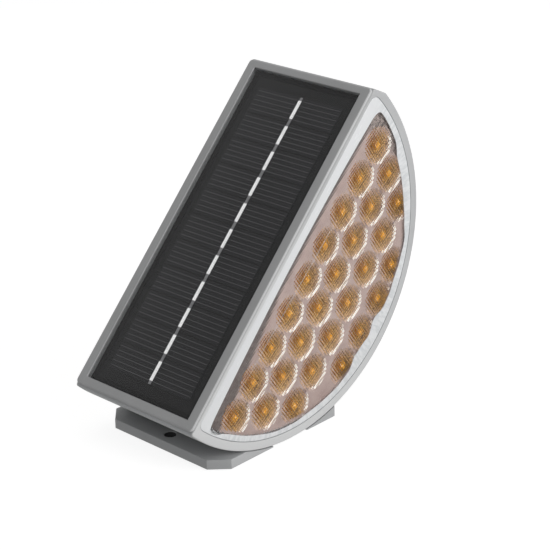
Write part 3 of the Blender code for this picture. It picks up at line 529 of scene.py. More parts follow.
MATERIALS = {
    "grey_plastic": plastic("housing_plastic", (0.44, 0.45, 0.455), rough=0.42),
    # painted light: a lighter copy of the housing plastic for the side rims, lighter still
    # towards the low end, with painted edge highlights
    "housing_rim_lit": plastic("housing_rim_lit", (0.50, 0.505, 0.51), rough=0.4, edge_wear_and_highlight=0.25,
                           lit_low_colour=(0.66, 0.665, 0.665)),
    # painted highlight: the bezel's strong edge setting lightens its rounded edges
    "bezel_plastic": plastic("bezel_plastic", (0.41, 0.413, 0.416), rough=0.42, edge_wear_and_highlight=0.5),
    # painted highlight: a lighter copy of the bezel plastic for its side-facing fillets
    "bezel_edge_highlight": plastic("bezel_edge_highlight", (0.62, 0.625, 0.63), rough=0.38, edge_wear_and_highlight=0.3),
    # painted shade: near-black plastic for the walls of the fixing holes
    "hole_wall_shade": plastic("hole_wall_shade", (0.03, 0.03, 0.031), rough=0.7),
    "plate_plastic": plastic("plate_plastic", (0.44, 0.445, 0.45), rough=0.5, grain=0.25,
                             edge_wear_and_highlight=0.14),
    "tray_black": plastic("tray_plastic", (0.03, 0.03, 0.032), rough=0.5, grain=0.3),
    "switch_black": plastic("switch_plastic", (0.022, 0.022, 0.024), rough=0.38, grain=0.15,
                            edge_wear_and_highlight=0.05),
    "lead_red": plastic("lead_red", (0.42, 0.03, 0.025), rough=0.4, grain=0.1, edge_wear_and_highlight=0.0),
    "lead_black": plastic("lead_black", (0.02, 0.02, 0.022), rough=0.4, grain=0.1, edge_wear_and_highlight=0.0),
    "screw_steel": metal("screw_steel", (0.62, 0.62, 0.63), rough=0.3),
    "contact_nickel": metal("contact_nickel", (0.66, 0.64, 0.58), rough=0.28),
    "nut_brass": metal("nut_brass", (0.70, 0.52, 0.22), rough=0.3),
    "seal_rubber": rubber("seal_rubber", (0.02, 0.02, 0.02), rough=0.75),
    "button_rubber": rubber("button_rubber", (0.035, 0.035, 0.037), rough=0.65),
    "board_black": board("panel_board", (0.006, 0.006, 0.006), (0.009, 0.009, 0.009),
                         specular=0.08),
    "panel_seal": board("panel_seal", (0.003, 0.003, 0.003), (0.005, 0.005, 0.005),
                        specular=0.02),
    "board_green": board("control_board", (0.02, 0.13, 0.05), (0.03, 0.2, 0.08)),
    "cell_wrap": cell_wrap(),
    "cell_silicon": cell_silicon(),
    "ribbon_tin": tin("ribbon_tin", (0.30, 0.30, 0.31), rough=0.4),
    # painted highlight: the tabs glow as a painted glint
    "ribbon_glint": tin("ribbon_glint", (0.95, 0.95, 0.95), rough=0.22, glow=0.32),
    "finger_silver": tin("finger_silver", (0.165, 0.165, 0.17), rough=0.45),
    "panel_glass": panel_cover(),
    "window_outer": window_outer(),
    "window_inner": window_inner(),
    "lens_rim": lens_rim(),
    "reflector_cup": reflector_cup(),
    "reflector_deck": reflector_deck(),
    "led_amber": led_amber(),
    "board_white": board("led_board_mask", (0.50, 0.42, 0.36), (0.58, 0.50, 0.44)),
}


# ---------------------------------------------------------------- objects from meshes
def make(name, shape, material_key=None, matrix=TILTED, angle=30):
    """Object from a bmesh in mm. With angle None it stays flat shaded."""
    bmesh.ops.recalc_face_normals(shape, faces=shape.faces[:])
    bmesh.ops.scale(shape, vec=(MM, MM, MM), verts=shape.verts[:])
    data = bpy.data.meshes.new(name)
    shape.to_mesh(data)
    shape.free()
    part = bpy.data.objects.new(name, data)
    bpy.context.scene.collection.objects.link(part)
    part.matrix_world = matrix
    if material_key:
        data.materials.append(MATERIALS[material_key])
    if angle:
        shade(part, angle)
    return part


def shade(part, angle):
    part.data.shade_smooth()
    part.data.set_sharp_from_angle(angle=math.radians(angle))


def boolean(part, tool, operation='DIFFERENCE'):
    modifier = part.modifiers.new("cut", 'BOOLEAN')
    modifier.operation, modifier.solver, modifier.object = operation, 'EXACT', tool
    bpy.context.view_layer.update()
    graph = bpy.context.evaluated_depsgraph_get()
    data = bpy.data.meshes.new_from_object(part.evaluated_get(graph), depsgraph=graph)
    part.modifiers.clear()
    old_data = part.data
    part.data = data
    data.name = part.name
    bpy.data.meshes.remove(old_data)
    bpy.data.objects.remove(tool, do_unlink=True)
    # weld doubles, but only where that leaves the mesh closed
    shape = bmesh.new()
    shape.from_mesh(part.data)
    bmesh.ops.remove_doubles(shape, verts=shape.verts[:], dist=1e-6)
    if all(len(edge.link_faces) == 2 for edge in shape.edges):
        shape.to_mesh(part.data)
    shape.free()


def cut(part, shape, matrix=TILTED, operation='DIFFERENCE'):
    boolean(part, make("cutter", shape, matrix=matrix, angle=None), operation)


def paint(part, material_key, chosen):
    """Adds a material to the faces where chosen(centre in mm, normal) holds."""
    part.data.materials.append(MATERIALS[material_key])
    index = len(part.data.materials) - 1
    for face in part.data.polygons:
        if chosen(face.center / MM, face.normal):
            face.material_index = index


def piece(part, slot, *nodes, body="light", angle=None):
    """Hands a finished part over, with the nodes it replaces."""
    if angle:
        shade(part, angle)
    # the part's place goes into its mesh, so its own box is its box in the world
    bpy.context.view_layer.update()
    part.data.transform(part.matrix_world)
    part.matrix_world = WORLD
    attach(part, body)
    if nodes:
        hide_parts(*nodes)


# ---------------------------------------------------------------- outlines and solids
def arc_points(y, z, radius, start, end, steps):
    """Points on an arc about (y, z), both ends included."""
    return [(y + radius * math.cos(angle), z + radius * math.sin(angle))
            for angle in (start + (end - start) * i / steps for i in range(steps + 1))]


def drum_outline(radius, face_z, top_round, low_round, steps=120):
    """Circle cut off flat at face_z, with its upper and lower corners rounded."""
    round_steps = 8

    def corner(size):
        y = math.sqrt((radius - size) ** 2 - (face_z - size) ** 2)
        return y, math.atan2(face_z - size, y)
    top_y, top_angle = corner(top_round)
    low_y, low_angle = corner(low_round)
    end = -math.pi - low_angle
    points = []
    if top_round:
        points += arc_points(top_y, face_z - top_round, top_round, math.pi / 2, top_angle,
                             round_steps)[:-1]
    points += arc_points(0, 0, radius, top_angle, end, steps)
    if low_round:
        points += arc_points(-low_y, face_z - low_round, low_round, end, -1.5 * math.pi,
                             round_steps)[1:]
    return points


def trimmed(outline, normal, offset, radius, steps):
    """Cuts the outline's upper end off flat where normal.point = offset, and rounds the
    corner that this leaves with the sloped face."""
    length = math.hypot(*normal)
    normal_y, normal_z, offset = normal[0] / length, normal[1] / length, offset / length
    kept = []      # y, z, whether the point lies on the cut
    for i, start in enumerate(outline):
        end = outline[(i + 1) % len(outline)]
        before = start[0] * normal_y + start[1] * normal_z - offset
        after = end[0] * normal_y + end[1] * normal_z - offset
        if before <= 0:
            kept.append((start[0], start[1], False))
        if (before < 0) != (after < 0) and before != 0 and after != 0:
            share = before / (before - after)
            kept.append((start[0] + share * (end[0] - start[0]),
                         start[1] + share * (end[1] - start[1]), True))
    top = max((i for i, point in enumerate(kept) if point[2]), key=lambda i: kept[i][1])
    back = radius / (1 + normal_z)
    y = kept[top][0] - back * normal_y
    z = kept[top][1] - back * (1 + normal_z)
    arc = arc_points(y, z, radius, math.atan2(normal_z, normal_y), math.pi / 2, steps)
    if not kept[top - 1][2]:
        arc.reverse()
    points = [point[:2] for point in kept]
    return points[:top] + arc + points[top + 1:]


def above(outline, lowest):
    """The part of a tilted outline that lies above a world height."""
    def height(point):
        return DRUM_Z + point[0] * math.sin(TILT) + point[1] * math.cos(TILT) - lowest
    points = []
    for i, start in enumerate(outline):
        end = outline[(i + 1) % len(outline)]
        before, after = height(start), height(end)
        if before >= 0:
            points.append(start)
        if before > 0 > after or before < 0 < after:
            share = before / (before - after)
            points.append((start[0] + share * (end[0] - start[0]),
                           start[1] + share * (end[1] - start[1])))
    return points


def rectangle(half_x, half_y, middle_y, corner=0.0, steps=0):
    """Rectangle in x and y, with rounded corners if corner is given."""
    if not corner:
        return [(-half_x, middle_y - half_y), (half_x, middle_y - half_y),
                (half_x, middle_y + half_y), (-half_x, middle_y + half_y)]
    points = []
    for side_x, side_y, start in ((1, 1, 0), (-1, 1, 90), (-1, -1, 180), (1, -1, 270)):
        points += arc_points(side_x * (half_x - corner), middle_y + side_y * (half_y - corner),
                             corner, math.radians(start), math.radians(start + 90), steps)
    return points


def mirrored_span(side, start, end):
    """Range of x on the right (side 1) or left (side -1), low end first."""
    return sorted((side * start, side * end))


def prism(outline, start, end, axis='X', bevel=0.0, bevel_at=None, segments=3):
    """Outline pulled along X, or along Z, with its end edges bevelled (both by default)."""
    shape = bmesh.new()
    if axis == 'X':
        verts = [shape.verts.new((start, y, z)) for y, z in outline]
        step = Vector((end - start, 0, 0))
    else:
        verts = [shape.verts.new((x, y, start)) for x, y in outline]
        step = Vector((0, 0, end - start))
    result = bmesh.ops.extrude_face_region(shape, geom=[shape.faces.new(verts)])
    moved = [item for item in result['geom'] if isinstance(item, bmesh.types.BMVert)]
    bmesh.ops.translate(shape, verts=moved, vec=step)
    bmesh.ops.recalc_face_normals(shape, faces=shape.faces[:])
    if bevel:
        index = 'XYZ'.index(axis)
        edges = [edge for edge in shape.edges
                 if any(all(abs(vert.co[index] - level) < 1e-6 for vert in edge.verts)
                        for level in bevel_at or (start, end))]
        bmesh.ops.bevel(shape, geom=edges, offset=bevel, offset_type='OFFSET',
                        segments=segments, profile=0.5, affect='EDGES', clamp_overlap=True)
    return shape


def loft(levels):
    """Closed solid through stacked loops of (outline, z)."""
    shape = bmesh.new()
    rings = [[shape.verts.new((x, y, z)) for x, y in outline] for outline, z in levels]
    for low, high in zip(rings[:-1], rings[1:]):
        for i in range(len(low)):
            j = (i + 1) % len(low)
            shape.faces.new((low[i], low[j], high[j], high[i]))
    shape.faces.new(rings[0])
    shape.faces.new(rings[-1])
    return shape


def turned(profile, sides, point=(0, 0, 0), direction=(0, 0, 1), shape=None):
    """Solid of revolution from (radius, distance along the axis), added to shape if given."""
    if shape is None:
        shape = bmesh.new()
    turn = Vector(direction).normalized().to_track_quat('Z', 'Y').to_matrix().to_4x4()
    matrix = Matrix.Translation(point) @ turn
    rings = []
    for radius, along in profile:
        if radius < 1e-9:
            places = [(0, 0, along)]
        else:
            places = [(radius * math.cos(2 * math.pi * i / sides),
                       radius * math.sin(2 * math.pi * i / sides), along)
                      for i in range(sides)]
        rings.append([shape.verts.new(matrix @ Vector(place)) for place in places])
    for low, high in zip(rings[:-1], rings[1:]):
        for i in range(sides):
            j = (i + 1) % sides
            corners = []
            for vert in (low[i % len(low)], low[j % len(low)],
                         high[j % len(high)], high[i % len(high)]):
                if vert not in corners:
                    corners.append(vert)
            if len(corners) > 2:
                shape.faces.new(corners)
    for ring in (rings[0], rings[-1]):
        if len(ring) > 1:
            shape.faces.new(ring)
    return shape


def cylinder(radius, start, end, sides, *where, **more):
    return turned([(radius, start), (radius, end)], sides, *where, **more)


def posts(*groups):
    """Upright cylinders from rows of (x-y places, radius, bottom, top, sides)."""
    shape = bmesh.new()
    for places, radius, bottom, top, sides in groups:
        for x, y in places:
            cylinder(radius, bottom, top, sides, (x, y, 0), shape=shape)
    return shape


def box(x_range, y_range, z_range, shape=None):
    if shape is None:
        shape = bmesh.new()
    ranges = (x_range, y_range, z_range)
    verts = bmesh.ops.create_cube(shape, size=1.0)['verts']
    bmesh.ops.scale(shape, vec=[high - low for low, high in ranges], verts=verts)
    bmesh.ops.translate(shape, vec=[(low + high) / 2 for low, high in ranges], verts=verts)
    return shape


# ---------------------------------------------------------------- base plate
PLATE_CORNER = 7.4                           # size of the plate's cut corners
NOTCH_X, NOTCH_Y, NOTCH_SLANT = 31.3, 11.0, 1.5   # notch in each side, under the drum
SCOOP_R = DRUM_R + 0.3                       # hollow that clears the drum
HOLE_Y, HOLE_R, HOLE_CHAMFER = 34.1, 2.65, 0.35
SINK_PROFILE = [(5.2, -1.0), (4.2, 0.0), (4.2, 0.55), (2.25, 2.75), (2.25, PLATE_T + 1)]
SCREW_Z = 0.3                                # underside of the screw heads
SCREW_PROFILE = [(3.6, 0.0), (3.9, 0.2), (3.9, 0.4), (1.9, 2.2), (1.9, 11.0), (1.1, 11.5)]
SOCKET_PROFILE = [(1.75, -0.5), (1.75, 0.15), (1.55, 0.35), (1.55, 1.5)]


def plate_outline():
    right = [(PLATE_X - PLATE_CORNER, -PLATE_Y), (PLATE_X, -PLATE_Y + PLATE_CORNER),
             (PLATE_X, DRUM_Y - NOTCH_Y), (NOTCH_X, DRUM_Y - NOTCH_Y + NOTCH_SLANT),
             (NOTCH_X, DRUM_Y + NOTCH_Y - NOTCH_SLANT), (PLATE_X, DRUM_Y + NOTCH_Y),
             (PLATE_X, PLATE_Y - PLATE_CORNER), (PLATE_X - PLATE_CORNER, PLATE_Y)]
    left = [(-x, y) for x, y in reversed(right)]
    return left[-1:] + right + left[:-1]


def build_plate():
    plate = make("plate", prism(plate_outline(), 0.0, PLATE_T, 'Z', bevel=0.3),
                 "plate_plastic", WORLD)
    half_arc = math.radians(25.0)
    scoop = arc_points(DRUM_Y, DRUM_Z, SCOOP_R, -math.pi / 2 - half_arc,
                       -math.pi / 2 + half_arc, 60)
    scoop += [(DRUM_Y + 40.0, DRUM_Z - 60.0), (DRUM_Y - 40.0, DRUM_Z - 60.0)]
    for side in (-1, 1):
        cut(plate, prism(scoop, *mirrored_span(side, NOTCH_X, PLATE_X + 1)), WORLD)
    wide = HOLE_R + HOLE_CHAMFER
    hole = [(wide, -1), (wide, 0.0), (HOLE_R, HOLE_CHAMFER), (HOLE_R, PLATE_T - HOLE_CHAMFER),
            (wide, PLATE_T), (wide, PLATE_T + 1)]
    for side in (-1, 1):
        cut(plate, turned(hole, 40, (0, side * HOLE_Y, 0)), WORLD)
    for x, y in BASE_SCREWS:
        cut(plate, turned(SINK_PROFILE, 32, (x, y, 0)), WORLD)
    # painted shade: the walls of the two fixing holes are painted near black
    paint(plate, "hole_wall_shade", lambda centre, normal: abs(normal.z) < 0.3 and
          math.hypot(centre.x, abs(centre.y) - HOLE_Y) < HOLE_R + 0.6)
    piece(plate, "plate_plastic", "base_plate", angle=25)


def build_base_screws():
    for i, (x, y) in enumerate(BASE_SCREWS, 1):
        screw = make("screw_base_%d" % i, turned(SCREW_PROFILE, 28, (x, y, SCREW_Z)),
                     "screw_steel", WORLD)
        cut(screw, turned(SOCKET_PROFILE, 6, (x, y, SCREW_Z)), WORLD)
        piece(screw, "screw_steel", "base_screw_%d" % i, angle=25)


# ---------------------------------------------------------------- housing
FACE_Z = 2.15                                    # sloped face
END_NORMAL, END_OFFSET = (0.974, 0.311), 80.6    # flat that cuts off the upper end
CAVITY_R, CAVITY_X, FLOOR_Z = 82.0, 28.6, 7.9    # FLOOR_Z is a world height
SIDE_OPENING_R, SIDE_OPENING_TOP = 77.0, -5.0
POCKET_X = 32.0                                  # bottom of the lens pocket
SEAT_X, SEAT_Z = 31.6, 4.9                       # flat seat on the base plate, in the world
# places of bosses: two in the world, then two in the tilted frame
TRAY_LUGS = [(0, DRUM_Y - 42.0), (0, DRUM_Y + 42.0)]
PANEL_BOSSES = [(0, -23.0), (0, 23.0)]
# bosses and holes: places, radius, bottom, top, sides
LOW_BOSSES = ((BASE_SCREWS, 4.6, FLOOR_Z - 1.5, 14.0, 24), (TRAY_LUGS, 3.6, 14.2, 20.0, 20))
LOW_HOLES = ((BASE_SCREWS, 2.15, 0.0, 12.6, 18), (TRAY_LUGS, 1.35, 15.0, 21.0, 14))
FACE_BOSSES = (PANEL_BOSSES, 3.2, -8.4, CAVITY_TOP + 0.9, 20)
FACE_HOLES = (PANEL_BOSSES, 1.25, -9.0, -4.4, 14)
RECESS_HOLE = ([(0, 32.0)], 4.5, CAVITY_TOP - 1, RECESS_Z + 1, 28)
# switch hole and the wider sink round it: radius, start, end, sides
SWITCH_HOLES = ((5.8, 78.0, 90.0, 32), (8.6, 84.1, 92.0, 56))


def build_housing():
    outline = trimmed(drum_outline(DRUM_R, FACE_Z, 0.0, 1.2, steps=150),
                      END_NORMAL, END_OFFSET, radius=1.3, steps=8)
    housing = make("housing", prism(outline, -HALF_W, HALF_W, bevel=0.6, segments=4),
                   "grey_plastic")
    cavity = above(drum_outline(CAVITY_R, CAVITY_TOP, 2.5, 2.5, steps=72), FLOOR_Z)
    cut(housing, prism(cavity, -CAVITY_X, CAVITY_X))
    cut(housing, prism(drum_outline(SIDE_OPENING_R, SIDE_OPENING_TOP, 3.0, 3.0),
                       -HALF_W - 1, HALF_W + 1))
    pocket = drum_outline(LENS_R + LENS_GAP, LENS_TOP + LENS_GAP, 4.45, 2.9, steps=150)
    for side in (-1, 1):
        cut(housing, prism(pocket, *mirrored_span(side, POCKET_X, HALF_W + 1)))
    cut(housing, prism(rectangle(OPEN_X, OPEN_Y, PANEL_Y), RECESS_Z, FACE_Z + 2, 'Z'))
    cut(housing, box((-SEAT_X, SEAT_X), (-60, 60), (-5, SEAT_Z)), WORLD)
    cut(housing, posts(*LOW_BOSSES), WORLD, 'UNION')
    cut(housing, posts(FACE_BOSSES), TILTED, 'UNION')
    cut(housing, posts(*LOW_HOLES), WORLD)
    cut(housing, posts(FACE_HOLES))
    cut(housing, posts(RECESS_HOLE))
    for hole in SWITCH_HOLES:
        cut(housing, cylinder(*hole, DRUM_CENTRE, SWITCH_AXIS), WORLD)
    # painted light: the side rims get the lighter copy of the housing plastic
    paint(housing, "housing_rim_lit", lambda centre, normal: abs(centre.x) > 35.0)
    piece(housing, "grey_plastic", "housing_body", angle=25)


# ---------------------------------------------------------------- solar panel
BEZEL_Y0, BEZEL_Y1, BEZEL_Z0, BEZEL_Z1 = -83.8, 81.5, 2.4, 3.47
BEZEL_CHAMFER = 0.22                # round the opening
COVER_GAP = 0.3                     # between the cover and the bezel
COVER_Z0, COVER_Z1 = 1.44, 2.64
CELL_COUNT, CELL_PITCH = 11, 12.96
# thin conductors across each cell: half length, half width, pitch, z range
FINGER_X, FINGER_Y, FINGER_PITCH, FINGER_Z = 24.2, 0.08, 2.3, (1.0, 1.03)
# one tab along each cell, bright with a painted glint: middle x, half sizes, z range
TAB_MIDDLE, TAB_X, TAB_Y, TAB_Z = 0.9, 0.88, 4.55, (1.25, 1.34)


def build_bezel():
    outline = rectangle(HALF_W, (BEZEL_Y1 - BEZEL_Y0) / 2, (BEZEL_Y0 + BEZEL_Y1) / 2,
                        corner=2.0, steps=10)
    bezel = make("bezel", prism(outline, BEZEL_Z0, BEZEL_Z1, 'Z', bevel=0.95,
                                bevel_at=(BEZEL_Z1,), segments=5), "bezel_plastic")
    opening = rectangle(OPEN_X, OPEN_Y, PANEL_Y)
    wide = rectangle(OPEN_X + BEZEL_CHAMFER, OPEN_Y + BEZEL_CHAMFER, PANEL_Y)
    cut(bezel, loft([(opening, BEZEL_Z0 - 1), (opening, BEZEL_Z1 - BEZEL_CHAMFER),
                     (wide, BEZEL_Z1), (wide, BEZEL_Z1 + 1)]))
    # painted highlight: the side-facing fillets get the lighter copy of the bezel plastic
    paint(bezel, "bezel_edge_highlight", lambda centre, normal: abs(normal.x) > 0.25 and normal.z > 0.25)
    piece(bezel, "bezel_plastic", "panel_frame", angle=25)


def build_cover():
    outline = rectangle(OPEN_X - COVER_GAP, OPEN_Y - COVER_GAP, PANEL_Y, corner=0.4, steps=4)
    cover = make("cover", prism(outline, COVER_Z0, COVER_Z1, 'Z', bevel=0.2,
                                bevel_at=(COVER_Z1,), segments=2), "panel_glass")
    piece(cover, "panel_glass", "panel_cover")


def build_cell_metal():
    fingers = bmesh.new()
    tabs = bmesh.new()
    for i in range(CELL_COUNT):
        middle = PANEL_Y + CELL_PITCH * ((CELL_COUNT - 1) / 2 - i)
        for j in range(-2, 3):
            y = middle + FINGER_PITCH * j
            box((-FINGER_X, FINGER_X), (y - FINGER_Y, y + FINGER_Y), FINGER_Z, fingers)
        box((TAB_MIDDLE - TAB_X, TAB_MIDDLE + TAB_X), (middle - TAB_Y, middle + TAB_Y),
            TAB_Z, tabs)
    piece(make("cell_fingers", fingers, "finger_silver", angle=10), "ribbon_tin")
    piece(make("ribbon_tabs", tabs, "ribbon_glint", angle=10), "ribbon_tin")


# ---------------------------------------------------------------- LED faces
# Arc side of the window: angle in degrees from the tilted Y axis, radius. It comes in and
# out a little with the cups.
WINDOW_ARC = (
    (-3.0, 77.2), (-11.2, 77.5), (-20.3, 77.3), (-27.3, 75.2), (-35.5, 75.4), (-43.0, 75.6),
    (-50.5, 76.4), (-57.6, 77.8), (-64.5, 77.0), (-71.8, 76.0), (-76.0, 76.2), (-80.4, 75.6),
    (-86.8, 72.4), (-92.8, 74.6), (-97.0, 73.8), (-101.2, 73.8), (-106.9, 76.8),
    (-113.6, 77.4), (-126.9, 77.4), (-136.0, 78.2), (-144.0, 78.4), (-153.5, 77.9),
    (-165.0, 77.8), (-168.5, 78.3), (-171.5, 79.7), (-174.0, 80.15), (-180.0, 80.15))
WINDOW_TOP, WINDOW_BOW_UP, WINDOW_BOW_LOW = -3.7, 2.9, 2.1   # z of the straight side, its bows
WINDOW_BOW_Y = 78.0                                          # where the bows reach those sizes
# the side of each cup where the painted reflection and painted highlight go
CUP_REFLECTION_SIDE = Vector((0.10, -1.0)).normalized()     # (y, z) towards the bright side of a cup
# cup wall: radius, x
CUP_PROFILE = [
    (2.8, REFL_X0 - 1), (2.8, REFL_X0 + 0.8), (4.3, REFL_X0 + 1.8), (5.7, REFL_X0 + 3.3),
    (6.9, REFL_X0 + 5.2), (7.75, REFL_X0 + 7.1), (CUP_R - 0.25, REFL_X1 - 0.35),
    (CUP_R, REFL_X1), (CUP_R, REFL_X1 + 1)]


def window_radius(degrees):
    """Radius of the window's arc side, eased from one station to the next."""
    for (angle0, radius0), (angle1, radius1) in zip(WINDOW_ARC[:-1], WINDOW_ARC[1:]):
        if angle1 <= degrees <= angle0:
            share = (angle0 - degrees) / (angle0 - angle1)
            share = share * share * (3 - 2 * share)
            return radius0 + (radius1 - radius0) * share


def window_side(y):
    """z of the window's slightly bowed straight side."""
    bow = WINDOW_BOW_UP if y > 0 else WINDOW_BOW_LOW
    return WINDOW_TOP - bow * (y / WINDOW_BOW_Y) ** 2


def window_outline(arc_steps=150, side_steps=24, corner=2.4, corner_steps=8):
    """The arc side, closed by the bowed side, with both corners rounded."""
    arc = []
    for i in range(arc_steps + 1):
        degrees = -4.0 - 172.0 * i / arc_steps
        radius, angle = window_radius(degrees), math.radians(degrees)
        arc.append((radius * math.cos(angle), radius * math.sin(angle)))
    arc = [(y, z) for y, z in arc if z < window_side(y)]
    low_y, top_y = arc[-1][0], arc[0][0]
    side = [low_y + (top_y - low_y) * i / side_steps for i in range(side_steps + 1)]
    side = [(y, window_side(y)) for y in side]
    low, top = side[0], side[-1]

    def clear(points):
        return [point for point in points
                if math.dist(point, top) >= corner and math.dist(point, low) >= corner]

    def curve(start, middle, end):
        shares = [(i + 1) / (corner_steps + 1) for i in range(corner_steps)]
        return [tuple((1 - t) ** 2 * start[k] + 2 * t * (1 - t) * middle[k] + t * t * end[k]
                      for k in (0, 1)) for t in shares]
    arc, side = clear(arc), clear(side)
    return arc + curve(arc[-1], low, side[0]) + side + curve(side[-1], top, arc[0])


def led_points():
    """(y, z, 0 or 1 by turns down a column), pulled in where too far from the drum's axis."""
    points = []
    for z, middle, count, pitch in LED_COLUMNS:
        for i in range(count):
            y = middle + pitch * (i - (count - 1) / 2)
            pull = min(1.0, LED_MAX_R / math.hypot(y, z))
            points.append((y * pull, z * pull, i % 2))
    return points


LEDS = led_points()


def led_distance(y, z):
    """Distance to the nearest LED's axis."""
    return min(math.hypot(led[0] - y, led[1] - z) for led in LEDS)


def tag_cups(part):
    """Stores how far out in its cup, and on which side of it, each vertex lies."""
    radii = part.data.attributes.new("cup_r", 'FLOAT', 'POINT')
    facings = part.data.attributes.new("cup_a", 'FLOAT', 'POINT')
    for i, vert in enumerate(part.data.vertices):
        y, z = vert.co.y / MM, vert.co.z / MM
        near = min(LEDS, key=lambda led: (led[0] - y) ** 2 + (led[1] - z) ** 2)
        offset = Vector((y - near[0], z - near[1]))
        radii.data[i].value = offset.length / CUP_R
        facings.data[i].value = (offset.normalized().dot(CUP_REFLECTION_SIDE)
                                 if offset.length > 1e-6 else 0.0)


def drill_board_screws(part, start, end, side):
    for y, z in BOARD_SCREWS:
        cut(part, cylinder(BOARD_SCREW_R, start, end, 14, (0, y, z), (side, 0, 0)))


def build_lens(name, side):
    outer = drum_outline(LENS_R, LENS_TOP, 4.3, 2.8, steps=150)
    lens = make("lens_" + name,
                prism(outer, *mirrored_span(side, LENS_X0, LENS_X1), bevel=0.45,
                      bevel_at=(side * LENS_X1,), segments=4), "lens_rim", angle=None)
    inner = drum_outline(LENS_INNER_R, LENS_INNER_TOP, 2.0, 2.0, steps=110)
    cut(lens, prism(inner, *mirrored_span(side, LENS_X0 - 1, LENS_INNER_X)))
    cut(lens, prism(window_outline(), *mirrored_span(side, WINDOW_X, LENS_X1 + 1)))
    for key, face_x in (("window_outer", WINDOW_X), ("window_inner", LENS_INNER_X)):
        paint(lens, key, lambda centre, normal: abs(normal.x) > 0.99 and
              abs(centre.x * side - face_x) < 0.02)
    piece(lens, "lens_clear", "lens_cap_" + name, angle=25)


def build_reflector(name, side):
    body = drum_outline(76.7, -5.3, 2.8, 2.8, steps=110)
    reflector = make("reflector_" + name + "_cups",
                     prism(body, *mirrored_span(side, REFL_X0, 33.0)),
                     "reflector_deck", angle=None)
    lip = drum_outline(77.9, -2.6, 1.8, 1.8, steps=110)
    cut(reflector, prism(lip, *mirrored_span(side, 32.3, REFL_X1)), TILTED, 'UNION')
    limit = drum_outline(76.5, -6.0, 2.0, 2.0, steps=110)
    # every other cup of a column at a time, since neighbours may overlap
    for turn in (0, 1):
        cups = bmesh.new()
        for y, z, led_turn in LEDS:
            if led_turn == turn:
                turned(CUP_PROFILE, 32, (0, y, z), (side, 0, 0), cups)
        tool = make("cup_tool", cups, angle=None)
        cut(tool, prism(limit, *mirrored_span(side, REFL_X0 - 2, REFL_X1 + 2)),
            TILTED, 'INTERSECT')
        boolean(reflector, tool)
    drill_board_screws(reflector, REFL_X0 - 1, 30.6, side)
    tag_cups(reflector)
    paint(reflector, "reflector_cup", lambda centre, normal: abs(normal.x) < 0.97 and
          centre.x * side > REFL_X0 + 0.05 and
          led_distance(centre.y, centre.z) < CUP_R + 0.05)
    piece(reflector, "reflector_chrome", "reflector_" + name, angle=25)


def build_led_board(name, side):
    outline = drum_outline(76.3, -8.0, 3.0, 3.0, steps=110)
    pcb = make("led_pcb_" + name, prism(outline, *mirrored_span(side, PCB_X0, PCB_X1)),
               "board_white")
    drill_board_screws(pcb, PCB_X0 - 1, PCB_X1 + 1, side)
    piece(pcb, "board_green", "led_board_" + name, angle=25)


def build_leds(name, side):
    steps = 7
    dome = [(2.9, PCB_X1 + 0.02), (2.9, PCB_X1 + 0.9), (LED_R, PCB_X1 + 1.0)]
    for i in range(steps + 1):
        angle = math.pi / 2 * i / steps
        dome.append((LED_R * math.cos(angle) if i < steps else 0.0,
                     LED_TIP_X - LED_R + LED_R * math.sin(angle)))
    shape = bmesh.new()
    for y, z, _ in LEDS:
        turned(dome, 20, (0, y, z), (side, 0, 0), shape)
    leds = make("leds_" + name, shape, "led_amber")
    radii = leds.data.attributes.new("led_r", 'FLOAT', 'POINT')
    for i, vert in enumerate(leds.data.vertices):
        radii.data[i].value = led_distance(vert.co.y / MM, vert.co.z / MM) / LED_R
    piece(leds, "led_amber", "led_board_" + name, angle=40)


# ---------------------------------------------------------------- push-button switch
BUTTON_R, BUTTON_START = 3.9, 74.6      # BUTTON_START: distance from the drum's axis
# radius, distance from the drum's axis
SHELL_PROFILE = [(5.4, 66.0), (5.4, 85.4), (7.7, 85.4), (7.7, 86.15), (7.6, 86.4),
                 (7.3, 86.6), (5.6, 86.6), (5.3, 86.35), (4.6, 86.35)]
# radius, distance from the button's start
BUTTON_PROFILE = [(BUTTON_R, 0.0), (BUTTON_R, 13.3), (BUTTON_R - 0.15, 13.8),
                  (BUTTON_R - 0.5, 14.25), (BUTTON_R - 1.0, 14.5), (BUTTON_R - 1.3, 14.42),
                  (BUTTON_R - 1.6, 14.42), (BUTTON_R - 1.9, 14.65), (1.0, 14.78), (0, 14.8)]


def switch_frame(distance):
    """Frame with Z along the switch, its origin this far from the drum's axis."""
    turn = SWITCH_AXIS.to_track_quat('Z', 'X').to_matrix().to_4x4()
    return Matrix.Translation((DRUM_CENTRE + SWITCH_AXIS * distance) * MM) @ turn


def build_switch():
    shell = make("switch_shell", turned(SHELL_PROFILE, 56, DRUM_CENTRE, SWITCH_AXIS),
                 "switch_black", WORLD)
    cut(shell, cylinder(BUTTON_R + 0.2, 72.0, 90.0, 48, DRUM_CENTRE, SWITCH_AXIS), WORLD)
    tags = bmesh.new()
    for x_range in ((-3.2, -1.8), (1.8, 3.2)):
        box(x_range, (-0.4, 0.4), (61.5, 67.0), tags)
    cut(shell, tags, switch_frame(0.0), 'UNION')
    piece(shell, "switch_black", "switch_body", angle=25)
    button = make("button_cap", turned(BUTTON_PROFILE, 48), "button_rubber",
                  switch_frame(BUTTON_START), angle=40)
    piece(button, "button_rubber", "switch_button", body="button")


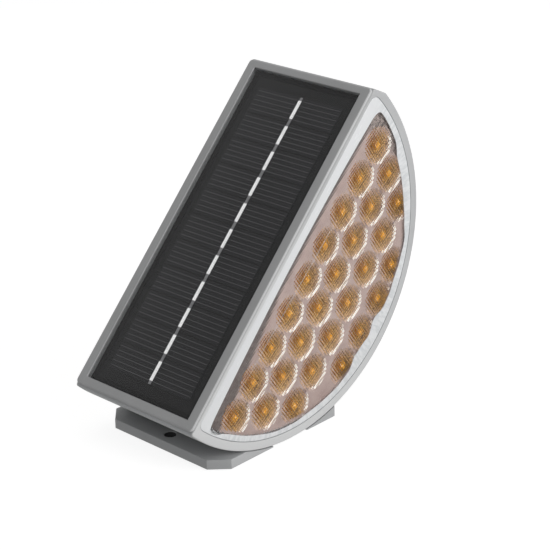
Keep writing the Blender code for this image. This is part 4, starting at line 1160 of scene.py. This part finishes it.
# ---------------------------------------------------------------- carried-over CAD nodes
KEY_BY_NAME = {
    "panel_backing_board": "board_black", "panel_gasket": "panel_seal",
    "cell_ribbon": "ribbon_tin", "lens_seal_right": "seal_rubber",
    "lens_seal_left": "seal_rubber", "control_board": "board_green",
    "battery_tray": "tray_black", "battery_contact_bridge": "contact_nickel",
    "switch_nut": "nut_brass", "switch_seal": "seal_rubber",
    "led_cable_right": "lead_black", "led_cable_left": "lead_black",
    "switch_body": "switch_black"}
# for other names, the first of these that the name contains
KEY_BY_PART = (("solar_cell", "cell_silicon"), ("battery_cell", "cell_wrap"),
               ("battery_contact_leaf", "contact_nickel"), ("screw", "screw_steel"))


def key_of(name):
    if name in KEY_BY_NAME:
        return KEY_BY_NAME[name]
    for text, key in KEY_BY_PART:
        if text in name:
            return key
    if "lead_" in name:
        return "lead_red" if name.endswith("_1") else "lead_black"
    return "grey_plastic"


def paint_nodes():
    for name, node in NODES.items():
        if node.hide_render:
            continue
        node.data.materials.clear()
        node.data.materials.append(MATERIALS[key_of(name)])
        for face in node.data.polygons:
            face.material_index = 0


# ---------------------------------------------------------------- stage, light, camera
FLOOR_DROP = 0.0003      # m, the floor lies this far under the plate
# world brightness for lighting, in reflections and as seen by the camera
AMBIENT, GLOSS, SEEN = 0.36, 1.0, 1.05
LIGHT_DISTANCE, LIGHT_SIZE, LIGHT_TARGET = 1.2, 0.9, Vector((0, 0, 0.08))      # m
CAMERA_TURN, CAMERA_RISE = math.radians(43.287), math.radians(22.614)
CAMERA_ROLL = math.radians(-0.684)
# camera from the origin: mm back, right and up in its own axes
CAMERA_BACK, CAMERA_RIGHT, CAMERA_UP = 813.40488, 22.15656, 63.234


def build_floor():
    shape = bmesh.new()
    bmesh.ops.create_grid(shape, x_segments=1, y_segments=1, size=3000.0)
    floor = make("floor", shape, matrix=Matrix.Translation((0, 0, -FLOOR_DROP)))
    mat = material("floor")
    camera_ray = mat.node('LightPath').outputs['Is Camera Ray']
    grey = mat.build('BsdfDiffuse', Color=(0.35, 0.35, 0.35))
    # painted shadow: the ground under the plate is kept dark to the camera, as seen through the
    # plate's holes, but it still lights the underside
    x, y, _ = mat.split(mat.node('NewGeometry').outputs['Position'])
    under = mat.mul(mat.math('LESS_THAN', mat.math('ABSOLUTE', x), 0.020),
                    mat.math('LESS_THAN', mat.math('ABSOLUTE', y), 0.0385), camera_ray)
    strength = mat.mul(mat.sub(1.0, under), mat.add(mat.mul(camera_ray, 0.58), 0.27))
    glow = mat.build('Emission', Strength=strength)
    lit = mat.calc('AddShader', grey, glow)
    # clear from below
    clear = mat.build('BsdfTransparent')
    backfacing = mat.node('NewGeometry').outputs['Backfacing']
    floor.data.materials.append(mat.done(mat.blend(backfacing, lit, clear)))


def build_world():
    world = bpy.data.worlds.new("studio")
    bpy.context.scene.world = world
    sky = Graph(world, 'OutputWorld')
    rays = sky.node('LightPath').outputs
    strength = sky.math('MULTIPLY_ADD', rays['Is Glossy Ray'], GLOSS - AMBIENT, AMBIENT)
    strength = sky.math('MULTIPLY_ADD', rays['Is Camera Ray'], SEEN - AMBIENT, strength)
    sky.done(sky.build('Background', Strength=strength))


def area_light(name, direction, power):
    data = bpy.data.lights.new(name, 'AREA')
    data.shape = 'SQUARE'
    data.size = LIGHT_SIZE
    data.energy = power
    light = bpy.data.objects.new(name, data)
    bpy.context.scene.collection.objects.link(light)
    toward = Vector(direction).normalized()
    light.location = LIGHT_TARGET + toward * LIGHT_DISTANCE
    light.rotation_mode = 'QUATERNION'
    light.rotation_quaternion = toward.to_track_quat('Z', 'Y')
    light.visible_camera = False
    return light


def build_camera():
    back = Vector((math.sin(CAMERA_TURN) * math.cos(CAMERA_RISE),
                   -math.cos(CAMERA_TURN) * math.cos(CAMERA_RISE), math.sin(CAMERA_RISE)))
    level_right = (-back).cross(Vector((0, 0, 1))).normalized()
    level_up = level_right.cross(-back)
    right = level_right * math.cos(CAMERA_ROLL) + level_up * math.sin(CAMERA_ROLL)
    upward = -level_right * math.sin(CAMERA_ROLL) + level_up * math.cos(CAMERA_ROLL)
    data = bpy.data.cameras.new("camera")
    camera = bpy.data.objects.new("camera", data)
    bpy.context.scene.collection.objects.link(camera)
    data.sensor_width = 36.0
    data.lens = 118.89288
    data.clip_start, data.clip_end = 0.01, 20.0
    place = (back * CAMERA_BACK + right * CAMERA_RIGHT + upward * CAMERA_UP) * MM
    matrix = Matrix((right, upward, back)).transposed().to_4x4()
    matrix.translation = place + Vector((0, 0, FLOOR_DROP))
    camera.matrix_world = matrix
    bpy.context.scene.camera = camera


# ---------------------------------------------------------------- build
build_plate()
build_base_screws()
build_housing()
build_bezel()
build_cover()
build_cell_metal()
for side_name, side_sign in (("right", 1), ("left", -1)):
    build_lens(side_name, side_sign)
    build_reflector(side_name, side_sign)
    build_led_board(side_name, side_sign)
    build_leds(side_name, side_sign)
build_switch()
paint_nodes()

build_floor()
build_world()
area_light("key", direction=(0.88, 0.34, 0.30), power=9.0)
area_light("top", direction=(-0.1, -0.25, 1.0), power=3.0).visible_glossy = False
build_camera()

view = bpy.context.scene.view_settings
view.view_transform = 'Standard'
view.look = 'None'
view.exposure = 0.0
view.gamma = 1.0

bpy.context.view_layer.update()
